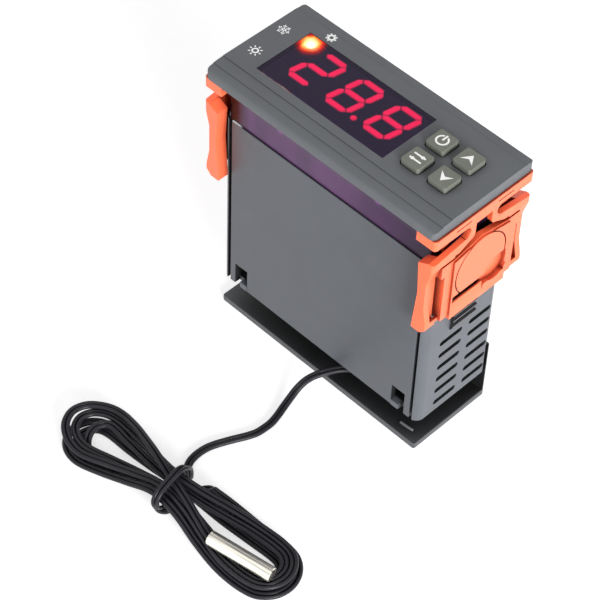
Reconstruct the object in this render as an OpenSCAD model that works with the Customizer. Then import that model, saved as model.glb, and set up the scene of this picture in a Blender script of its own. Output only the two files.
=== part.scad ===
// Panel-mounted digital temperature controller with its clips, rear cover and wired probe.
// The origin is the centre of the rear cover's underside, the face looks up, +X is the
// reading direction of the digits and +Y goes to their tops.

/* [Body] */
// Width of the body along the reading direction
body_w = 70; // [69:0.5:76]
// Depth of the body across the digits
body_d = 26.5; // [26:0.25:30]
// Length of the housing shell behind the front frame
shell_l = 57.8; // [57:0.5:72]
// Wall of the housing shell and its side panel
wall = 1.8; // [1.4:0.1:2]
// Outer corner radius of the shell
body_r = 2.5; // [1.9:0.1:3]
// Thickness of the rear cover's plate
cover_t = 2; // [1.5:0.1:3]
// Height of the wiring space between the rear cover and the shell
wiring_h = 8.4; // [8:0.2:14]
// Height of the rear cover's wall from its underside
cover_rise = 20; // [16:0.5:22]
// Thickness of the rear cover's wall
cover_wall = 1.5; // [1.2:0.1:1.8]
// Corner radius of the rear cover's plate
cover_r = 1.5; // [0.8:0.1:2.5]

/* [Bezel] */
// Width of the bezel
bezel_w = 75; // [75:0.5:82]
// Depth of the bezel
bezel_d = 34.5; // [34.5:0.25:40]
// Thickness of the bezel over the panel
bezel_t = 3.2; // [3:0.1:4.5]
// Thickness of the bezel's front plate
bezel_plate = 1.6; // [1.4:0.1:1.7]
// Wall of the bezel's rim
bezel_rim = 1.7; // [1.4:0.1:2]
// Corner radius of the bezel
bezel_r = 1.6; // [1.5:0.1:3]
// Height of each step down along the bezel's long edges
bezel_step = 0.5; // [0.3:0.1:0.6]
// Width of the land between the lower long edge and the first step
land_low = 2.85; // [2:0.1:4]
// Width of the second land along the lower long edge
land_mid = 3.2; // [2:0.1:3.4]
// Width of the land along the upper long edge
land_up = 3.25; // [2:0.1:4]
// Radius of the bezel's outer edges
edge_r = 0.8; // [0.4:0.1:1.2]

/* [Window] */
// Width of the window
win_w = 41.8; // [40:0.2:42]
// Height of the window along the digits
win_h = 18.6; // [17:0.2:19]
// Centre of the window from the middle of the face
win_x = -7.9; // [-8.5:0.1:-7]
// Centre of the window towards the tops of the digits
win_y = 0.7; // [0:0.1:1.4]
// Height of a digit
digit_h = 12.8; // [10:0.1:13.5]
// Width of a digit
digit_w = 8.4; // [6:0.1:8.6]
// Distance from one digit to the next
digit_pitch = 12.4; // [11.5:0.1:12.6]
// Stroke of a digit's segments
stroke = 1.7; // [1:0.1:1.8]
// Lean of the digits in degrees
slant = 10; // [0:1:12]
// Diameter of an indicator lamp
lamp_d = 2.6; // [2:0.1:3]

/* [Keys] */
// Width of a key
key_w = 5.6; // [5:0.1:6]
// Height of a key along the digits
key_h = 5.8; // [5:0.1:6]
// Distance between the two columns of keys
key_pitch_x = 8.45; // [8.4:0.05:9.2]
// Distance between the two rows of keys
key_pitch_y = 8.4; // [8.3:0.05:9]
// Centre of the keys from the middle of the face
key_x = 23.7; // [23.4:0.1:24.2]
// Centre of the keys towards the tops of the digits
key_y = 0.5; // [0:0.1:1]
// Height of a key over the face
key_proud = 1.5; // [1:0.1:2]
// Corner radius of a key
key_r = 0.6; // [0.5:0.1:1.5]
// Travel of a key
key_travel = 0.5; // [0.3:0.05:0.6]
// Clearance round a key
key_gap = 0.3; // [0.25:0.05:0.4]

/* [Front frame] */
// Length of the neck between the bezel and the shell
neck_l = 13.6; // [13:0.2:16]
// Width of the neck
neck_w = 69; // [68:0.5:69]
// Depth of the neck
neck_d = 25.6; // [25:0.2:25.8]
// Wall of the neck
neck_wall = 1.6; // [1.2:0.1:1.8]
// Length of the spigot inside the shell
spigot_l = 8.2; // [6:0.2:9]
// Wall of the spigot
spigot_wall = 1.4; // [1:0.1:1.5]

/* [Vents and rack] */
// Number of vents in a column
vent_n = 6; // [3:1:6]
// Distance from one vent to the next
vent_pitch = 4.5; // [4:0.1:4.6]
// Height of a vent
vent_h = 1.6; // [1:0.1:2.2]
// Length of a vent
vent_l = 8.1; // [6:0.1:8.2]
// Distance between the two columns of vents
vent_column = 10.5; // [10:0.1:10.6]
// Centre of the vents towards the tops of the digits
vent_y = 1.9; // [1:0.1:2]
// Lowest vent's height over the shell's rear edge
vent_low = 3.2; // [2.5:0.1:3.8]
// Width of the rack for the clip
rack_w = 8.6; // [6:0.2:10]
// Depth of the rack's teeth
tooth = 0.9; // [0.5:0.1:1]
// Distance from one tooth to the next
tooth_pitch = 2.05; // [1.8:0.05:2.4]
// Number of teeth
tooth_n = 14; // [8:1:14]

/* [Clips] */
// Thickness of a clip's side arms over the body's long faces
arm_t = 3.4; // [2.2:0.1:3.6]
// Thickness of a clip's web
web_t = 1.5; // [1.2:0.1:1.8]
// Clearance between a clip and what it slides on
clip_gap = 0.3; // [0.25:0.05:0.4]
// Outer corner radius of a clip
clip_r = 0.9; // [0.6:0.1:2.6]
// Radius of the thumb disc
disc_r = 8.9; // [8:0.1:9]
// Height of the thumb pad over the web
pad_t = 0.5; // [0.4:0.1:1]
// Height of a clip from its lower edge to the panel
clip_l = 32.4; // [31.6:0.2:34]
// Distance that a clip slides down its rack
clip_travel = 16; // [8:1:16]

/* [Inside] */
// Thickness of the circuit boards
board_t = 1.6; // [1.2:0.1:1.6]
// Number of terminal poles
pole_n = 8; // [4:1:8]
// Distance from one pole to the next
pole_pitch = 7.5; // [7:0.1:7.5]
// Diameter of a terminal screw's head
screw_d = 4; // [3:0.1:4.4]
// Width of a square wire entry
entry_w = 3.8; // [3.4:0.1:3.9]
// Height of the terminal block
block_h = 13; // [12:0.5:14]

/* [Probe] */
// Diameter of the probe's lead
cord_d = 1.8; // [1.6:0.05:1.8]
// Diameter of the probe's capsule
probe_d = 4; // [3.6:0.1:4]
// Length of the probe's capsule
probe_l = 18.6; // [15:0.2:18.6]
// Turn of the wound hank on the table in degrees
hank_turn = 3.4; // [0:0.2:6]

/* [Hidden] */
$fn = 48;

// Overrun of a cut past the face that it goes through
cut = 1;
// Clearance between pieces that are fitted and stay still
fit = 0.2;
// Clearance of pieces that slip into one another
slip = 0.3;
// Segments of a small round feature
small_fn = 24;
// Half a turn in degrees
half = 180;

// Heights, from the cover's underside up
shell_z = cover_t + wiring_h;
shell_top = shell_z + shell_l;
seat_z = shell_top + neck_l;
face_z = seat_z + bezel_t;
plate_z = face_z - bezel_plate;

// Insides of the shell
in_x = body_w / 2 - wall;
in_y = body_d / 2 - wall;

// Flange of the front frame under the bezel's plate
flange_gap = 0.1;
flange_top = plate_z - flange_gap;
flange_w = bezel_w - 2 * bezel_rim - 2 * fit;
flange_d = bezel_d - 2 * bezel_rim - 2 * fit;

// Corner radius of the front frame's neck
neck_r = 1.8;

// Snap lugs of the front frame and the ledges inside it
lug_x = 16.4;
lug_z = 2.4;
frame_lug_w = 4;
frame_lug_t = 0.5;
frame_lug_h = 1.2;
shelf_w = 1.2;
shelf_t = 1.2;
shelf_d = 12;

// Window pad and the pocket behind it for the display
pad_fit = 0.15;
pad_low = 0.05;
pocket_rim = 0.7;
pocket_w = win_w - 2 * pocket_rim;
pocket_h = win_h - 2 * pocket_rim;
module_gap = 0.1;
module_w = pocket_w - 2 * module_gap;
module_h = pocket_h - 2 * module_gap;
segment_t = 0.2;
segment_gap = 0.2;
digits_x = 1.2;
digits_top = 8.3;
digits_y = digits_top - digit_h / 2;
point_x = 1.2;
point_d = 1.7;
DIGITS = [[1, 1, 1, 1, 0, 0, 1], [1, 1, 1, 1, 1, 1, 1], [1, 1, 1, 1, 1, 1, 1]];
lamp_inset = 1.6;
lamp_x = lamp_inset - pocket_w / 2;
lamp_y = [7.1, -0.3, -7];
module_top = flange_top - segment_t - fit;
module_t = 6.9;
board_top = module_top - module_t;
board_w = 65;
board_d = 21.4;

// Keys and their switches
key_top = face_z + key_proud;
key_flange_t = 1;
key_flange = 0.9;
key_flange_top = flange_top;
stem_d = 3;
stem_l = 1;
plunger_d = 3.4;
plunger_l = 2.1;
plunger_gap = 0.15;
plunger_well = 0.1;
switch_w = 6;
switch_h = 3.5;
stem_z = key_flange_top - key_flange_t - stem_l;
plunger_z = stem_z - plunger_l;
key_well = 0.5;
sink = 0.15;
KEY_POWER = [-1, 1];
KEY_SET = [-1, -1];
KEY_UP = [1, 1];
KEY_DOWN = [1, -1];
KEYS = [KEY_POWER, KEY_SET, KEY_UP, KEY_DOWN];
key_open_w = key_pitch_x + key_w + 2 * key_flange + 2 * key_gap + key_well;
key_open_h = key_pitch_y + key_h + 2 * key_flange + 2 * key_gap + key_well;
function key_at(k) = [key_x + k[0] * key_pitch_x / 2, key_y + k[1] * key_pitch_y / 2];
// Signs engraved on the keys
sign_line = 0.5;
sign_r = 1.75;
sign_slot = 1;
arrow_w = 1.85;
arrow_base = 1.2;
arrow_notch = 0.1;
arrow_tip = 1.6;

// Shell details
post_w = 1;
post_x = in_x;
panel_w = 2 * (post_x - post_w);
ledge_w = 2.7;
ledge_t = 1.4;
base_t = 1.6;
notch_w = 4.3;
notch_x = 28.15;
notch_h = 7.4;
lug_w = 2.5;
lug_h = 1.8;
lug_in = 0.9;
recess_y = body_d / 2 - cover_wall - fit;
recess_z = cover_rise + fit;
inner_wall = 1.7;

// Rack on each end wall
rack_top = shell_top - fit;
rack_x = body_w / 2;
rack_low = rack_top - tooth_n * tooth_pitch;
tooth_flat = 0.75;
tooth_lip = 0.4;

// Main board and what stands on it
main_y = -6.6;
main_w = 62;
main_low = shell_z + 3.6;
main_h = 52;

// Transformer, relays and the other parts on the main board
core_w = 26;
core_t = 9;
core_h = 22;
core_leg = 8;
core_window = 4.7;
core_yoke = 4.5;
core_x = -17;
core_z = 40;
coil_w = 17;
coil_t = 14.5;
coil_gap = 0.2;
coil_r = 2;
relay_w = 19;
relay_t = 15.3;
relay_h = 15.5;
relay_x = 17.5;
relay_z = [29, 46];
relay_r = 0.8;
cap_d = 8;
cap_l = 12;
cap_x = [-25, -14.5];
cap_z = 32.5;
cap_rim = 0.4;
buzzer_d = 12;
buzzer_l = 8.5;
buzzer_x = -1;
buzzer_hole = 2;
buzzer_well = 2;
header_w = 20.4;
header_t = 2.5;
header_h = 3;
pin_n = 8;
pin_pitch = 2.54;
pin_w = 0.64;

// Terminal block
block_low = shell_z + base_t;
block_top = block_low + block_h;
block_edge = 0.6;
block_w = pole_n * pole_pitch + 2 * block_edge;
block_front = 9.4;
entry_y = -1.2;
entry_top = 1;
clamp_h = 5;
clamp_wall = 0.7;
clamp_w = entry_w - 2 * fit;
screw_y = 5.4;
screw_gap = 0.2;
screw_l = 7;
screw_in = 1.2;
screw_slot = 0.7;
screw_slot_t = 0.8;
opening_side = 1;
opening_w = block_w - 2 * opening_side;
function pole_x(i) = (i - (pole_n - 1) / 2) * pole_pitch;

// Clips: the web's inner and outer faces, the arms' faces and the heights from the panel down
pawl_t = 0.3;
web_in = rack_x + tooth + clip_gap + pawl_t;
web_out = web_in + web_t;
arm_in = max(body_d, neck_d) / 2 + clip_gap;
arm_out = arm_in + arm_t;
pad_out = web_out + pad_t;
clip_top = seat_z - fit;
clip_low = clip_top - clip_l;
bar_t = 3;
bar_z = clip_top - bar_t;
bar_wing = 2.9;
bar_x = rack_x - bar_wing;
bar_step = 0.4;
bar_low = bar_z - bar_step;
bend_y = 2.8;
bend_r = 1.7;
crease_y = 4.6;
crease_l = 5.2;
crease_h = 0.35;
crease_depth = 0.3;
crease_drop = 1.6;
crease_z = clip_top - crease_drop;
// The spring's limb falls off to the side, and so does the plate's top under the slit
limb_drop = 6.4;
limb_high = clip_top - limb_drop;
hook_r = (bar_z - limb_high) / 2;
heel_r = 1.6;
heel_turn = 30;
limb_mid_drop = 8;
limb_mid = clip_top - limb_mid_drop;
limb_low_drop = 10.4;
limb_low = clip_top - limb_low_drop;
slit_t = 0.6;
slit_y = 9.4;
plate_side = limb_low - slit_t;
plate_crown = 1.6;
plate_mid = plate_side + plate_crown;
shoulder_drop = 14.8;
shoulder_z = clip_top - shoulder_drop;
foot_rise = 3.3;
foot_z = clip_low + foot_rise;
pad_y = 9.7;
web_y = 12.4;
slot_edge = 1.7;
rib_t = 1.2;
rib_depth = 1.2;
slot_y = arm_out - slot_edge;
center_rise = 1.1;
center_low = clip_low + center_rise;
side_rise = 2.2;
side_low = clip_low + side_rise;
disc_drop = 18.5;
disc_z = clip_top - disc_drop;
disc_groove = 0.4;
groove_depth = 0.5;
disc_flat = 5.4;
slot_h = 2.9;
slot_z = disc_z - disc_flat - slot_h;
slot_left = 9.2;
slot_right = 1.9;
slot_skin = 0.9;
slot_relief = 2.2;
bevel_depth = 0.5;
bevel_h = 2.6;
nail_r = 4;
nail_depth = 1.4;
nail_low = 0.8;
nail_h = 7.3;
tab_slit = 0.5;
// Side profile of an arm: how far its free edge stands in from the web's outer face
free_low = 5;
free_waist = 4;
free_top = 4.6;
waist_in = 1.7;
waist_rise = 8.5;
waist_low = clip_low + waist_rise;
waist_drop = 15.4;
waist_high = clip_top - waist_drop;
arm_drop = 10.4;
arm_top = clip_top - arm_drop;
arm_shoulder_drop = 9.6;
arm_shoulder = clip_top - arm_shoulder_drop;
peak_drop = 8;
arm_peak = clip_top - peak_drop;
foot_in = 0.7;
foot_h = 1.6;
waist_mid_drop = 19.4;
waist_mid = clip_top - waist_mid_drop;
// Teeth of the pawl behind the thumb disc
pawl_n = 3;
pawl_z = disc_z - pawl_n * tooth_pitch;

// Cover details
cover_mark = 0.5;
mark_r = 0.3;
mark_points = [[27.6, -10.5], [29.9, -10.4], [31.5, -10.2]];

// Cord: its radius, its height on the table and the sides of its tubes
cord_r = cord_d / 2;
cord_z = cord_r;
cord_sides = 8;
core_d = 0.8;
core_pair = 0.45;
core_pole = 5;
core_top = block_top - entry_top - clamp_wall;
core_bend = 3;
probe_round = 0.9;

// Hank: five rounds through two lobes and a tied waist, in its own frame along U, V and Z
hank_at = [5.4, -68, 0];
row = 2.35;
layer = 2.35;
lobe_in = 3.45;
lobe_z = cord_z + layer / 2;
waist_v = 2.72;
waist_z = 5.8;
waist_turn = 60;
lobe_right = 30;
lobe_left = -26.6;
waist_flat = 1;
spread_right = 23;
spread_left = 27;
ease_share = 0.35;
run_rings = 8;
fold_rings = 5;
hank_sides = 6;
hank_start = 9;
// Column and layer of each round in a lobe, from the first to the last
ROUNDS = [[1, 0], [0, 0], [-1, 0], [-0.5, 1], [0.5, 1]];
run_n = 2 * len(ROUNDS);
// How much longer or shorter than a half circle the folds after these runs are
fold_more = [0, 0.8, 0, 0.4, 0, -1.4, 0, 1.8, 0];
stray_more = 2.3;
// The last round's own way over the others and down to the capsule
STRAY = [[-26.6, 9.8, 3.2], [-23.6, 9.6, 3.9], [-20.5, 8.9, 5.7], [-17, 7.3, 7.4], [-13, 5, 8.8],
    [-9, 2.9, 9.7], [-5, 1, 9.4], [-2, 0, 8.4], [1, 0, 8.1], [4, 0, 7.9], [6.8, 0, 7.3],
    [8.9, 0, 5.7], [10.5, 0, 3.5], [12, 0, 2], [13.8, 0, 2]];
probe_z = probe_d / 2;

// Lead: from the terminals over the cover's edge, along the table and once round the hank
LEAD_OUT = [[15, -5, 6.4], [13.7, -6.3, 6.4], [11.8, -8.2, 6.7], [9, -10.6, 7], [6, -12.7, 6],
    [3.6, -14.4, 3.8], [1.7, -16.4, 1.8], [0.6, -18.6, 1], [1.1, -21, 0.9], [1.9, -23.4, 0.9],
    [2.6, -26, 0.9], [3.4, -28.5, 0.9], [4.1, -31.2, 0.9], [4.5, -33.9, 0.9], [4.5, -36.4, 0.9],
    [4.2, -38.9, 0.9], [3.2, -41.5, 0.9], [1.9, -44.1, 0.9], [0.7, -46.7, 0.9], [-0.4, -49.3, 0.9],
    [-1, -51.5, 0.9], [-1.2, -53.7, 0.9], [-1.1, -55.5, 0.9], [-0.7, -57.3, 0.9], [0.2, -59, 0.9]];
// The turn round the waist, in the hank's frame
TIE = [[-3.4, 7.6, 0.9], [-2.3, 7, 1.1], [-1.6, 6.6, 2], [-1.2, 6.3, 3.6], [-1, 6.1, 5.4],
    [-0.9, 5.6, 7.3], [-0.8, 4.4, 9.1], [-0.6, 2.4, 10.3], [-0.3, 0, 10.6], [0, -3, 10.4],
    [0.2, -5.6, 9.8], [0.4, -7.2, 8.4], [0.5, -7.5, 6.6], [0.6, -6.6, 4.6], [0.7, -5.4, 2.8],
    [0.8, -3.9, 1.3], [0.9, -2, 0.9], [1.1, 0.4, 0.9], [1.4, 2.8, 0.9], [2.2, 4.8, 1.2],
    [3.4, 6.1, 2], [5, 6.7, 3.2], [6.3, 6.6, 4.1]];

// Points and their neighbours
function unit(v) = v / norm(v);
function heading(p, i) = unit(p[min(i + 1, len(p) - 1)] - p[max(i - 1, 0)]);
function square_to(n, t) = unit(n - (n * t) * t);
// Normals carried along a path without a twist
function carried(p, n, i = 0) = i == len(p) ? [] :
    let (m = square_to(n, heading(p, i)))
    concat([m], carried(p, m, i + 1));
function turned(v, a) = [v.x * cos(a) - v.y * sin(a), v.x * sin(a) + v.y * cos(a), v.z];
// A point of the hank's frame in the object's frame
function placed(v) = hank_at + turned(v, hank_turn);

module tube(p, r, sides, n0) {
    n = carried(p, n0);
    last = len(p) - 1;
    points = [for (i = [0 : last])
        let (b = cross(heading(p, i), n[i]))
        for (k = [0 : sides - 1])
        p[i] + r * (cos(360 * k / sides) * n[i] + sin(360 * k / sides) * b)];
    walls = [for (i = [0 : last - 1])
        for (k = [0 : sides - 1])
        let (a = i * sides + k, c = i * sides + (k + 1) % sides)
        for (f = [[a, a + sides, c], [c, a + sides, c + sides]])
        f];
    near = [for (k = [1 : sides - 2]) [0, k, k + 1]];
    far = [for (k = [1 : sides - 2]) [last * sides, last * sides + k + 1, last * sides + k]];
    polyhedron(points, concat(walls, near, far));
}

// Smooth blend from 0 to 1, and one that stays nearer to a straight line
function ease(t) = t * t * (3 - 2 * t);
function held(t) = min(max(t, 0), 1);
function blend(t) = (1 - ease_share) * held(t) + ease_share * ease(held(t));

// Point of run j at U: the five runs of a side keep their order and turn together as the
// lobe narrows to the waist
function run_point(j, u) =
    let (side = j % 2 == 0 ? 1 : -1)
    let (spread = u > 0 ? spread_right : spread_left)
    let (s = blend((abs(u) - waist_flat) / (spread - waist_flat)))
    let (a = waist_turn * (1 - s))
    let (c = ROUNDS[floor(j / 2)].x * row)
    let (h = (ROUNDS[floor(j / 2)].y - 1 / 2) * layer)
    let (v = s * (lobe_in + row) + (1 - s) * waist_v + c * cos(a) - h * sin(a))
    let (z = s * lobe_z + (1 - s) * waist_z + c * sin(a) + h * cos(a))
    [u, side * v, z];
function run_u(j, i) =
    let (t = i / (run_rings - 1))
    j % 2 == 0 ? lobe_left + (lobe_right - lobe_left) * t : lobe_right + (lobe_left - lobe_right) * t;
function run(j) = [for (i = [0 : run_rings - 1])
    if (j > 0 || run_u(j, i) > hank_start + 2 * cord_d) run_point(j, run_u(j, i))];
// Half turn from the end of a run to the start of the next
function half_turn(a, b, more, way) = [for (i = [1 : fold_rings])
    let (t = half * i / (fold_rings + 1))
    let (r = abs(a.y - b.y) / 2 + more)
    [a.x + way * r * sin(t), (a.y + b.y) / 2 + (a.y - b.y) / 2 * cos(t),
        a.z + (b.z - a.z) * ease(held(2 * i / (fold_rings + 1)))]];
function fold_after(j) =
    let (u = j % 2 == 0 ? lobe_right : lobe_left)
    half_turn(run_point(j, u), run_point(j + 1, u), fold_more[j], j % 2 == 0 ? 1 : -1);
hank_first = [run_point(0, hank_start), run_point(0, hank_start + cord_d)];
hank_path = [for (part = concat([hank_first],
        [for (j = [0 : run_n - 2]) concat(run(j), fold_after(j))],
        [run(run_n - 1)],
        [half_turn(run_point(run_n - 1, lobe_left), STRAY[0], stray_more, -1)],
        [STRAY]))
    for (v = part) placed(v)];

// Least gap between two stretches of the hank that are not neighbours
function closest(a, b, c, d) =
    let (u = b - a, v = d - c, w = a - c)
    let (uu = u * u, uv = u * v, vv = v * v, uw = u * w, vw = v * w, det = uu * vv - uv * uv)
    let (s = det < 1e-9 ? 0 : held((uv * vw - vv * uw) / det))
    let (t = held((uv * s + vw) / vv))
    let (r = held((uv * t - uw) / uu))
    norm(w + r * u - t * v);
gap_from = 3;
function hank_gap(p) = min([for (i = [0 : len(p) - 3 - gap_from])
    for (k = [i + gap_from : len(p) - 2])
    closest(p[i], p[i + 1], p[k], p[k + 1])]) - cord_d;

function path_length(p) = norm_sum([for (i = [0 : len(p) - 2]) norm(p[i + 1] - p[i])]);
function norm_sum(v) = v * [for (x = v) 1];

lead_end = hank_path[0];
lead_way = unit(hank_path[1] - hank_path[0]);
lead_path = concat(LEAD_OUT, [for (v = TIE) placed(v)], [lead_end - cord_d * lead_way, lead_end]);

// A plate with rounded corners, centred on the origin
module round_rect(w, d, r) {
    square([w - 2 * r, d], center = true);
    square([w, d - 2 * r], center = true);
    for (x = [-1, 1], y = [-1, 1])
        translate([x * (w / 2 - r), y * (d / 2 - r)]) circle(r);
}

module slab(w, d, t, r) {
    linear_extrude(t) round_rect(w, d, r);
}

// A box from its middle in X and Y and its lower face
module box(w, d, h) {
    translate([-w / 2, -d / 2, 0]) cube([w, d, h]);
}

// A box between two corners
module span(a, b) {
    translate(a) cube(b - a);
}

// What rounds an outer edge that lies along X, at its upper corner
module edge_round(l, r) {
    rotate([0, 90, 0]) translate([0, 0, -l / 2]) linear_extrude(l) difference() {
        translate([-cut, -r]) square([r + cut, r + cut]);
        translate([r, -r]) circle(r);
    }
}

module key_places() {
    for (k = KEYS) translate(key_at(k)) children();
}

module front_bezel() {
    color("#66696d") difference() {
        translate([0, 0, seat_z]) slab(bezel_w, bezel_d, bezel_t, bezel_r);
        // Pocket for the front frame's flange
        translate([0, 0, seat_z - cut])
            slab(bezel_w - 2 * bezel_rim, bezel_d - 2 * bezel_rim, plate_z - seat_z + cut, bezel_r - fit);
        translate([win_x, win_y, seat_z]) box(win_w, win_h, bezel_t + cut);
        translate([0, 0, seat_z]) key_places()
            slab(key_w + 2 * key_gap, key_h + 2 * key_gap, bezel_t + cut, key_r + key_gap);
        // Steps along the long edges
        translate([0, -bezel_d / 2, face_z - bezel_step])
            box(bezel_w + cut, 2 * (land_low + land_mid), bezel_step + cut);
        translate([0, -bezel_d / 2, face_z - 2 * bezel_step])
            box(bezel_w + cut, 2 * land_low, 2 * bezel_step + cut);
        translate([0, bezel_d / 2, face_z - bezel_step]) box(bezel_w + cut, 2 * land_up, bezel_step + cut);
        // Rounded outer edges
        translate([0, bezel_d / 2, face_z - bezel_step]) edge_round(bezel_w + cut, edge_r);
        mirror([0, 1, 0]) translate([0, bezel_d / 2, face_z - 2 * bezel_step])
            edge_round(bezel_w + cut, edge_r);
    }
}

module front_frame() {
    color("#5b3f66") difference() {
        union() {
            translate([0, 0, seat_z]) slab(flange_w, flange_d, flange_top - seat_z, bezel_r - 2 * fit);
            translate([win_x, win_y, flange_top - cut])
                box(win_w - 2 * pad_fit, win_h - 2 * pad_fit, face_z - pad_low - flange_top + cut);
            translate([0, 0, shell_top]) slab(neck_w, neck_d, neck_l, neck_r);
            translate([0, 0, shell_top - spigot_l])
                box(2 * (in_x - slip), 2 * (in_y - slip), spigot_l + neck_wall);
            // Snap lugs on the long faces
            for (x = [-1, 1]) translate([x * lug_x, 0, seat_z - lug_z])
                box(frame_lug_w, neck_d + 2 * frame_lug_t, frame_lug_h);
        }
        // Inside of the neck, with ledges at its ends that the display board sits on
        difference() {
            translate([0, 0, shell_top + neck_wall])
                box(neck_w - 2 * neck_wall, neck_d - 2 * neck_wall, neck_l - neck_wall);
            for (x = [-1, 1]) translate([x * neck_w / 2, 0, board_top - board_t - shelf_t])
                box(neck_w - board_w + 2 * shelf_w, shelf_d, shelf_t);
        }
        translate([0, 0, shell_top - spigot_l - cut])
            box(2 * (in_x - slip - spigot_wall), 2 * (in_y - slip - spigot_wall), spigot_l + neck_l / 2);
        translate([win_x, win_y, seat_z - cut]) box(pocket_w, pocket_h, flange_top - seat_z + cut);
        translate([key_x, key_y, seat_z - cut]) box(key_open_w, key_open_h, bezel_t + cut);
    }
}

// A key: its cap with a sunk face, its flange under the plate and its stem
module key(k) {
    color("#7d8076") translate(key_at(k)) difference() {
        union() {
            translate([0, 0, key_flange_top - key_flange_t])
                slab(key_w, key_h, key_top - key_flange_top + key_flange_t, key_r);
            translate([0, 0, key_flange_top - key_flange_t])
                box(key_w + 2 * key_flange, key_h + 2 * key_flange, key_flange_t);
            translate([0, 0, stem_z]) cylinder(d = stem_d, h = stem_l + key_flange_t);
        }
        translate([0, 0, key_top - sink]) linear_extrude(sink + cut) children();
    }
}

module power_sign() {
    difference() {
        circle(sign_r, $fn = small_fn);
        circle(sign_r - sign_line, $fn = small_fn);
        translate([-sign_slot / 2, 0]) square([sign_slot, sign_r + cut]);
    }
    translate([-sign_line / 2, 0]) square([sign_line, sign_r + sign_line / 2]);
}

// Two sliders on their tracks, the sign for settings
module set_sign() {
    for (y = [-1, 1]) {
        translate([0, y * sign_r / 2]) square([2 * sign_r, sign_line], center = true);
        translate([y * sign_r / 2, y * sign_r / 2]) circle(sign_line, $fn = small_fn);
    }
}

module arrow_sign(way) {
    polygon([[-arrow_w, -way * arrow_base], [0, -way * arrow_notch], [arrow_w, -way * arrow_base],
        [0, way * arrow_tip]]);
}

module button_power() { key(KEY_POWER) power_sign(); }
module button_set() { key(KEY_SET) set_sign(); }
module button_up() { key(KEY_UP) arrow_sign(1); }
module button_down() { key(KEY_DOWN) arrow_sign(-1); }

module plunger(k) {
    color("#2b2b2d") translate(concat(key_at(k), plunger_z)) cylinder(d = plunger_d, h = plunger_l);
}
module plunger_power() { plunger(KEY_POWER); }
module plunger_set() { plunger(KEY_SET); }
module plunger_up() { plunger(KEY_UP); }
module plunger_down() { plunger(KEY_DOWN); }

module switch_bodies() {
    color("#3a3a3c") translate([0, 0, board_top]) key_places() difference() {
        box(switch_w, switch_w, switch_h);
        translate([0, 0, plunger_z - board_top - key_travel - plunger_well])
            cylinder(d = plunger_d + 2 * plunger_gap, h = switch_h + cut);
    }
}

// A seven-segment digit, its segments parted by a gap, leaning to the right
module digit(lit) {
    w = digit_w - stroke;
    h = (digit_h - stroke) / 2;
    // The three bars, then the four posts
    for (i = [0 : 2]) if (lit[i]) translate([0, (i - 1) * h]) bar(w - segment_gap);
    for (i = [0 : 3]) if (lit[3 + i])
        translate([(i % 2 == 0 ? -1 : 1) * w / 2, (i < 2 ? -1 : 1) * h / 2])
        rotate(90) bar(h - segment_gap);
}

// A segment's bar with pointed ends
module bar(l) {
    polygon([[-l / 2, 0], [-l / 2 + stroke / 2, stroke / 2], [l / 2 - stroke / 2, stroke / 2],
        [l / 2, 0], [l / 2 - stroke / 2, -stroke / 2], [-l / 2 + stroke / 2, -stroke / 2]]);
}

module lean() {
    multmatrix([[1, tan(slant), 0, 0], [0, 1, 0, 0], [0, 0, 1, 0]]) children();
}

module display_module() {
    color("#201a26") translate([win_x, win_y, board_top]) box(module_w, module_h, module_t);
}

module display_segments() {
    color("#f5124f") translate([win_x + digits_x, win_y + digits_y, module_top])
        linear_extrude(segment_t) {
            for (i = [0 : 2]) translate([(i - 1) * digit_pitch, 0]) lean() digit(DIGITS[i]);
            translate([digit_pitch / 2 - point_x, (stroke - digit_h) / 2]) circle(d = point_d, $fn = small_fn);
        }
}

module lamp() {
    cylinder(d = lamp_d, h = segment_t, $fn = small_fn);
}

module indicator_lit() {
    color("#ffe08a") translate([win_x + lamp_x, win_y + lamp_y[0], module_top]) lamp();
}

module indicators_off() {
    color("#4a2028") for (i = [1, 2]) translate([win_x + lamp_x, win_y + lamp_y[i], module_top]) lamp();
}

module display_board() {
    color("#2f6b3a") translate([0, 0, board_top - board_t]) box(board_w, board_d, board_t);
}

module board_link() {
    color("#1d1d1f") translate([0, main_y + header_t / 2, main_low + main_h - header_h])
        box(header_w, header_t, header_h);
    color("#c9a24a") for (i = [0 : pin_n - 1])
        translate([(i - (pin_n - 1) / 2) * pin_pitch, main_y + header_t / 2, main_low + main_h - header_h])
        box(pin_w, pin_w, board_top - board_t - main_low - main_h + header_h);
}

module main_board() {
    color("#2f6b3a") translate([-main_w / 2, main_y - board_t, main_low]) cube([main_w, board_t, main_h]);
}

// Laminated core of two windows round its middle leg, standing off the board by the coil
module transformer_core() {
    color("#8f9196") translate([core_x, main_y + coil_t / 2, core_z]) difference() {
        box(core_w, core_t, core_h);
        for (x = [-1, 1])
            translate([x * (core_leg + core_window) / 2, 0, core_yoke])
            box(core_window, core_t + cut, core_h - 2 * core_yoke);
    }
}

module transformer_coil() {
    color("#b8862f") translate([core_x, main_y + coil_t / 2, core_z + core_yoke]) difference() {
        slab(coil_w, coil_t, core_h - 2 * core_yoke, coil_r);
        translate([0, 0, -cut]) box(core_leg, core_t, core_h + cut);
    }
}

module relay(z) {
    color("#2a62b8") translate([relay_x, main_y + relay_t, z + relay_h / 2]) rotate([90, 0, 0])
        slab(relay_w, relay_h, relay_t, relay_r);
}
module relay_cooling() { relay(relay_z[1]); }
module relay_heating() { relay(relay_z[0]); }

module capacitors() {
    color("#26324f") for (x = cap_x) translate([x, main_y, cap_z]) rotate([-90, 0, 0]) {
        cylinder(d = cap_d, h = cap_l - cap_rim);
        translate([0, 0, cap_l - cap_rim]) cylinder(d1 = cap_d, d2 = cap_d - 2 * cap_rim, h = cap_rim);
    }
}

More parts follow.
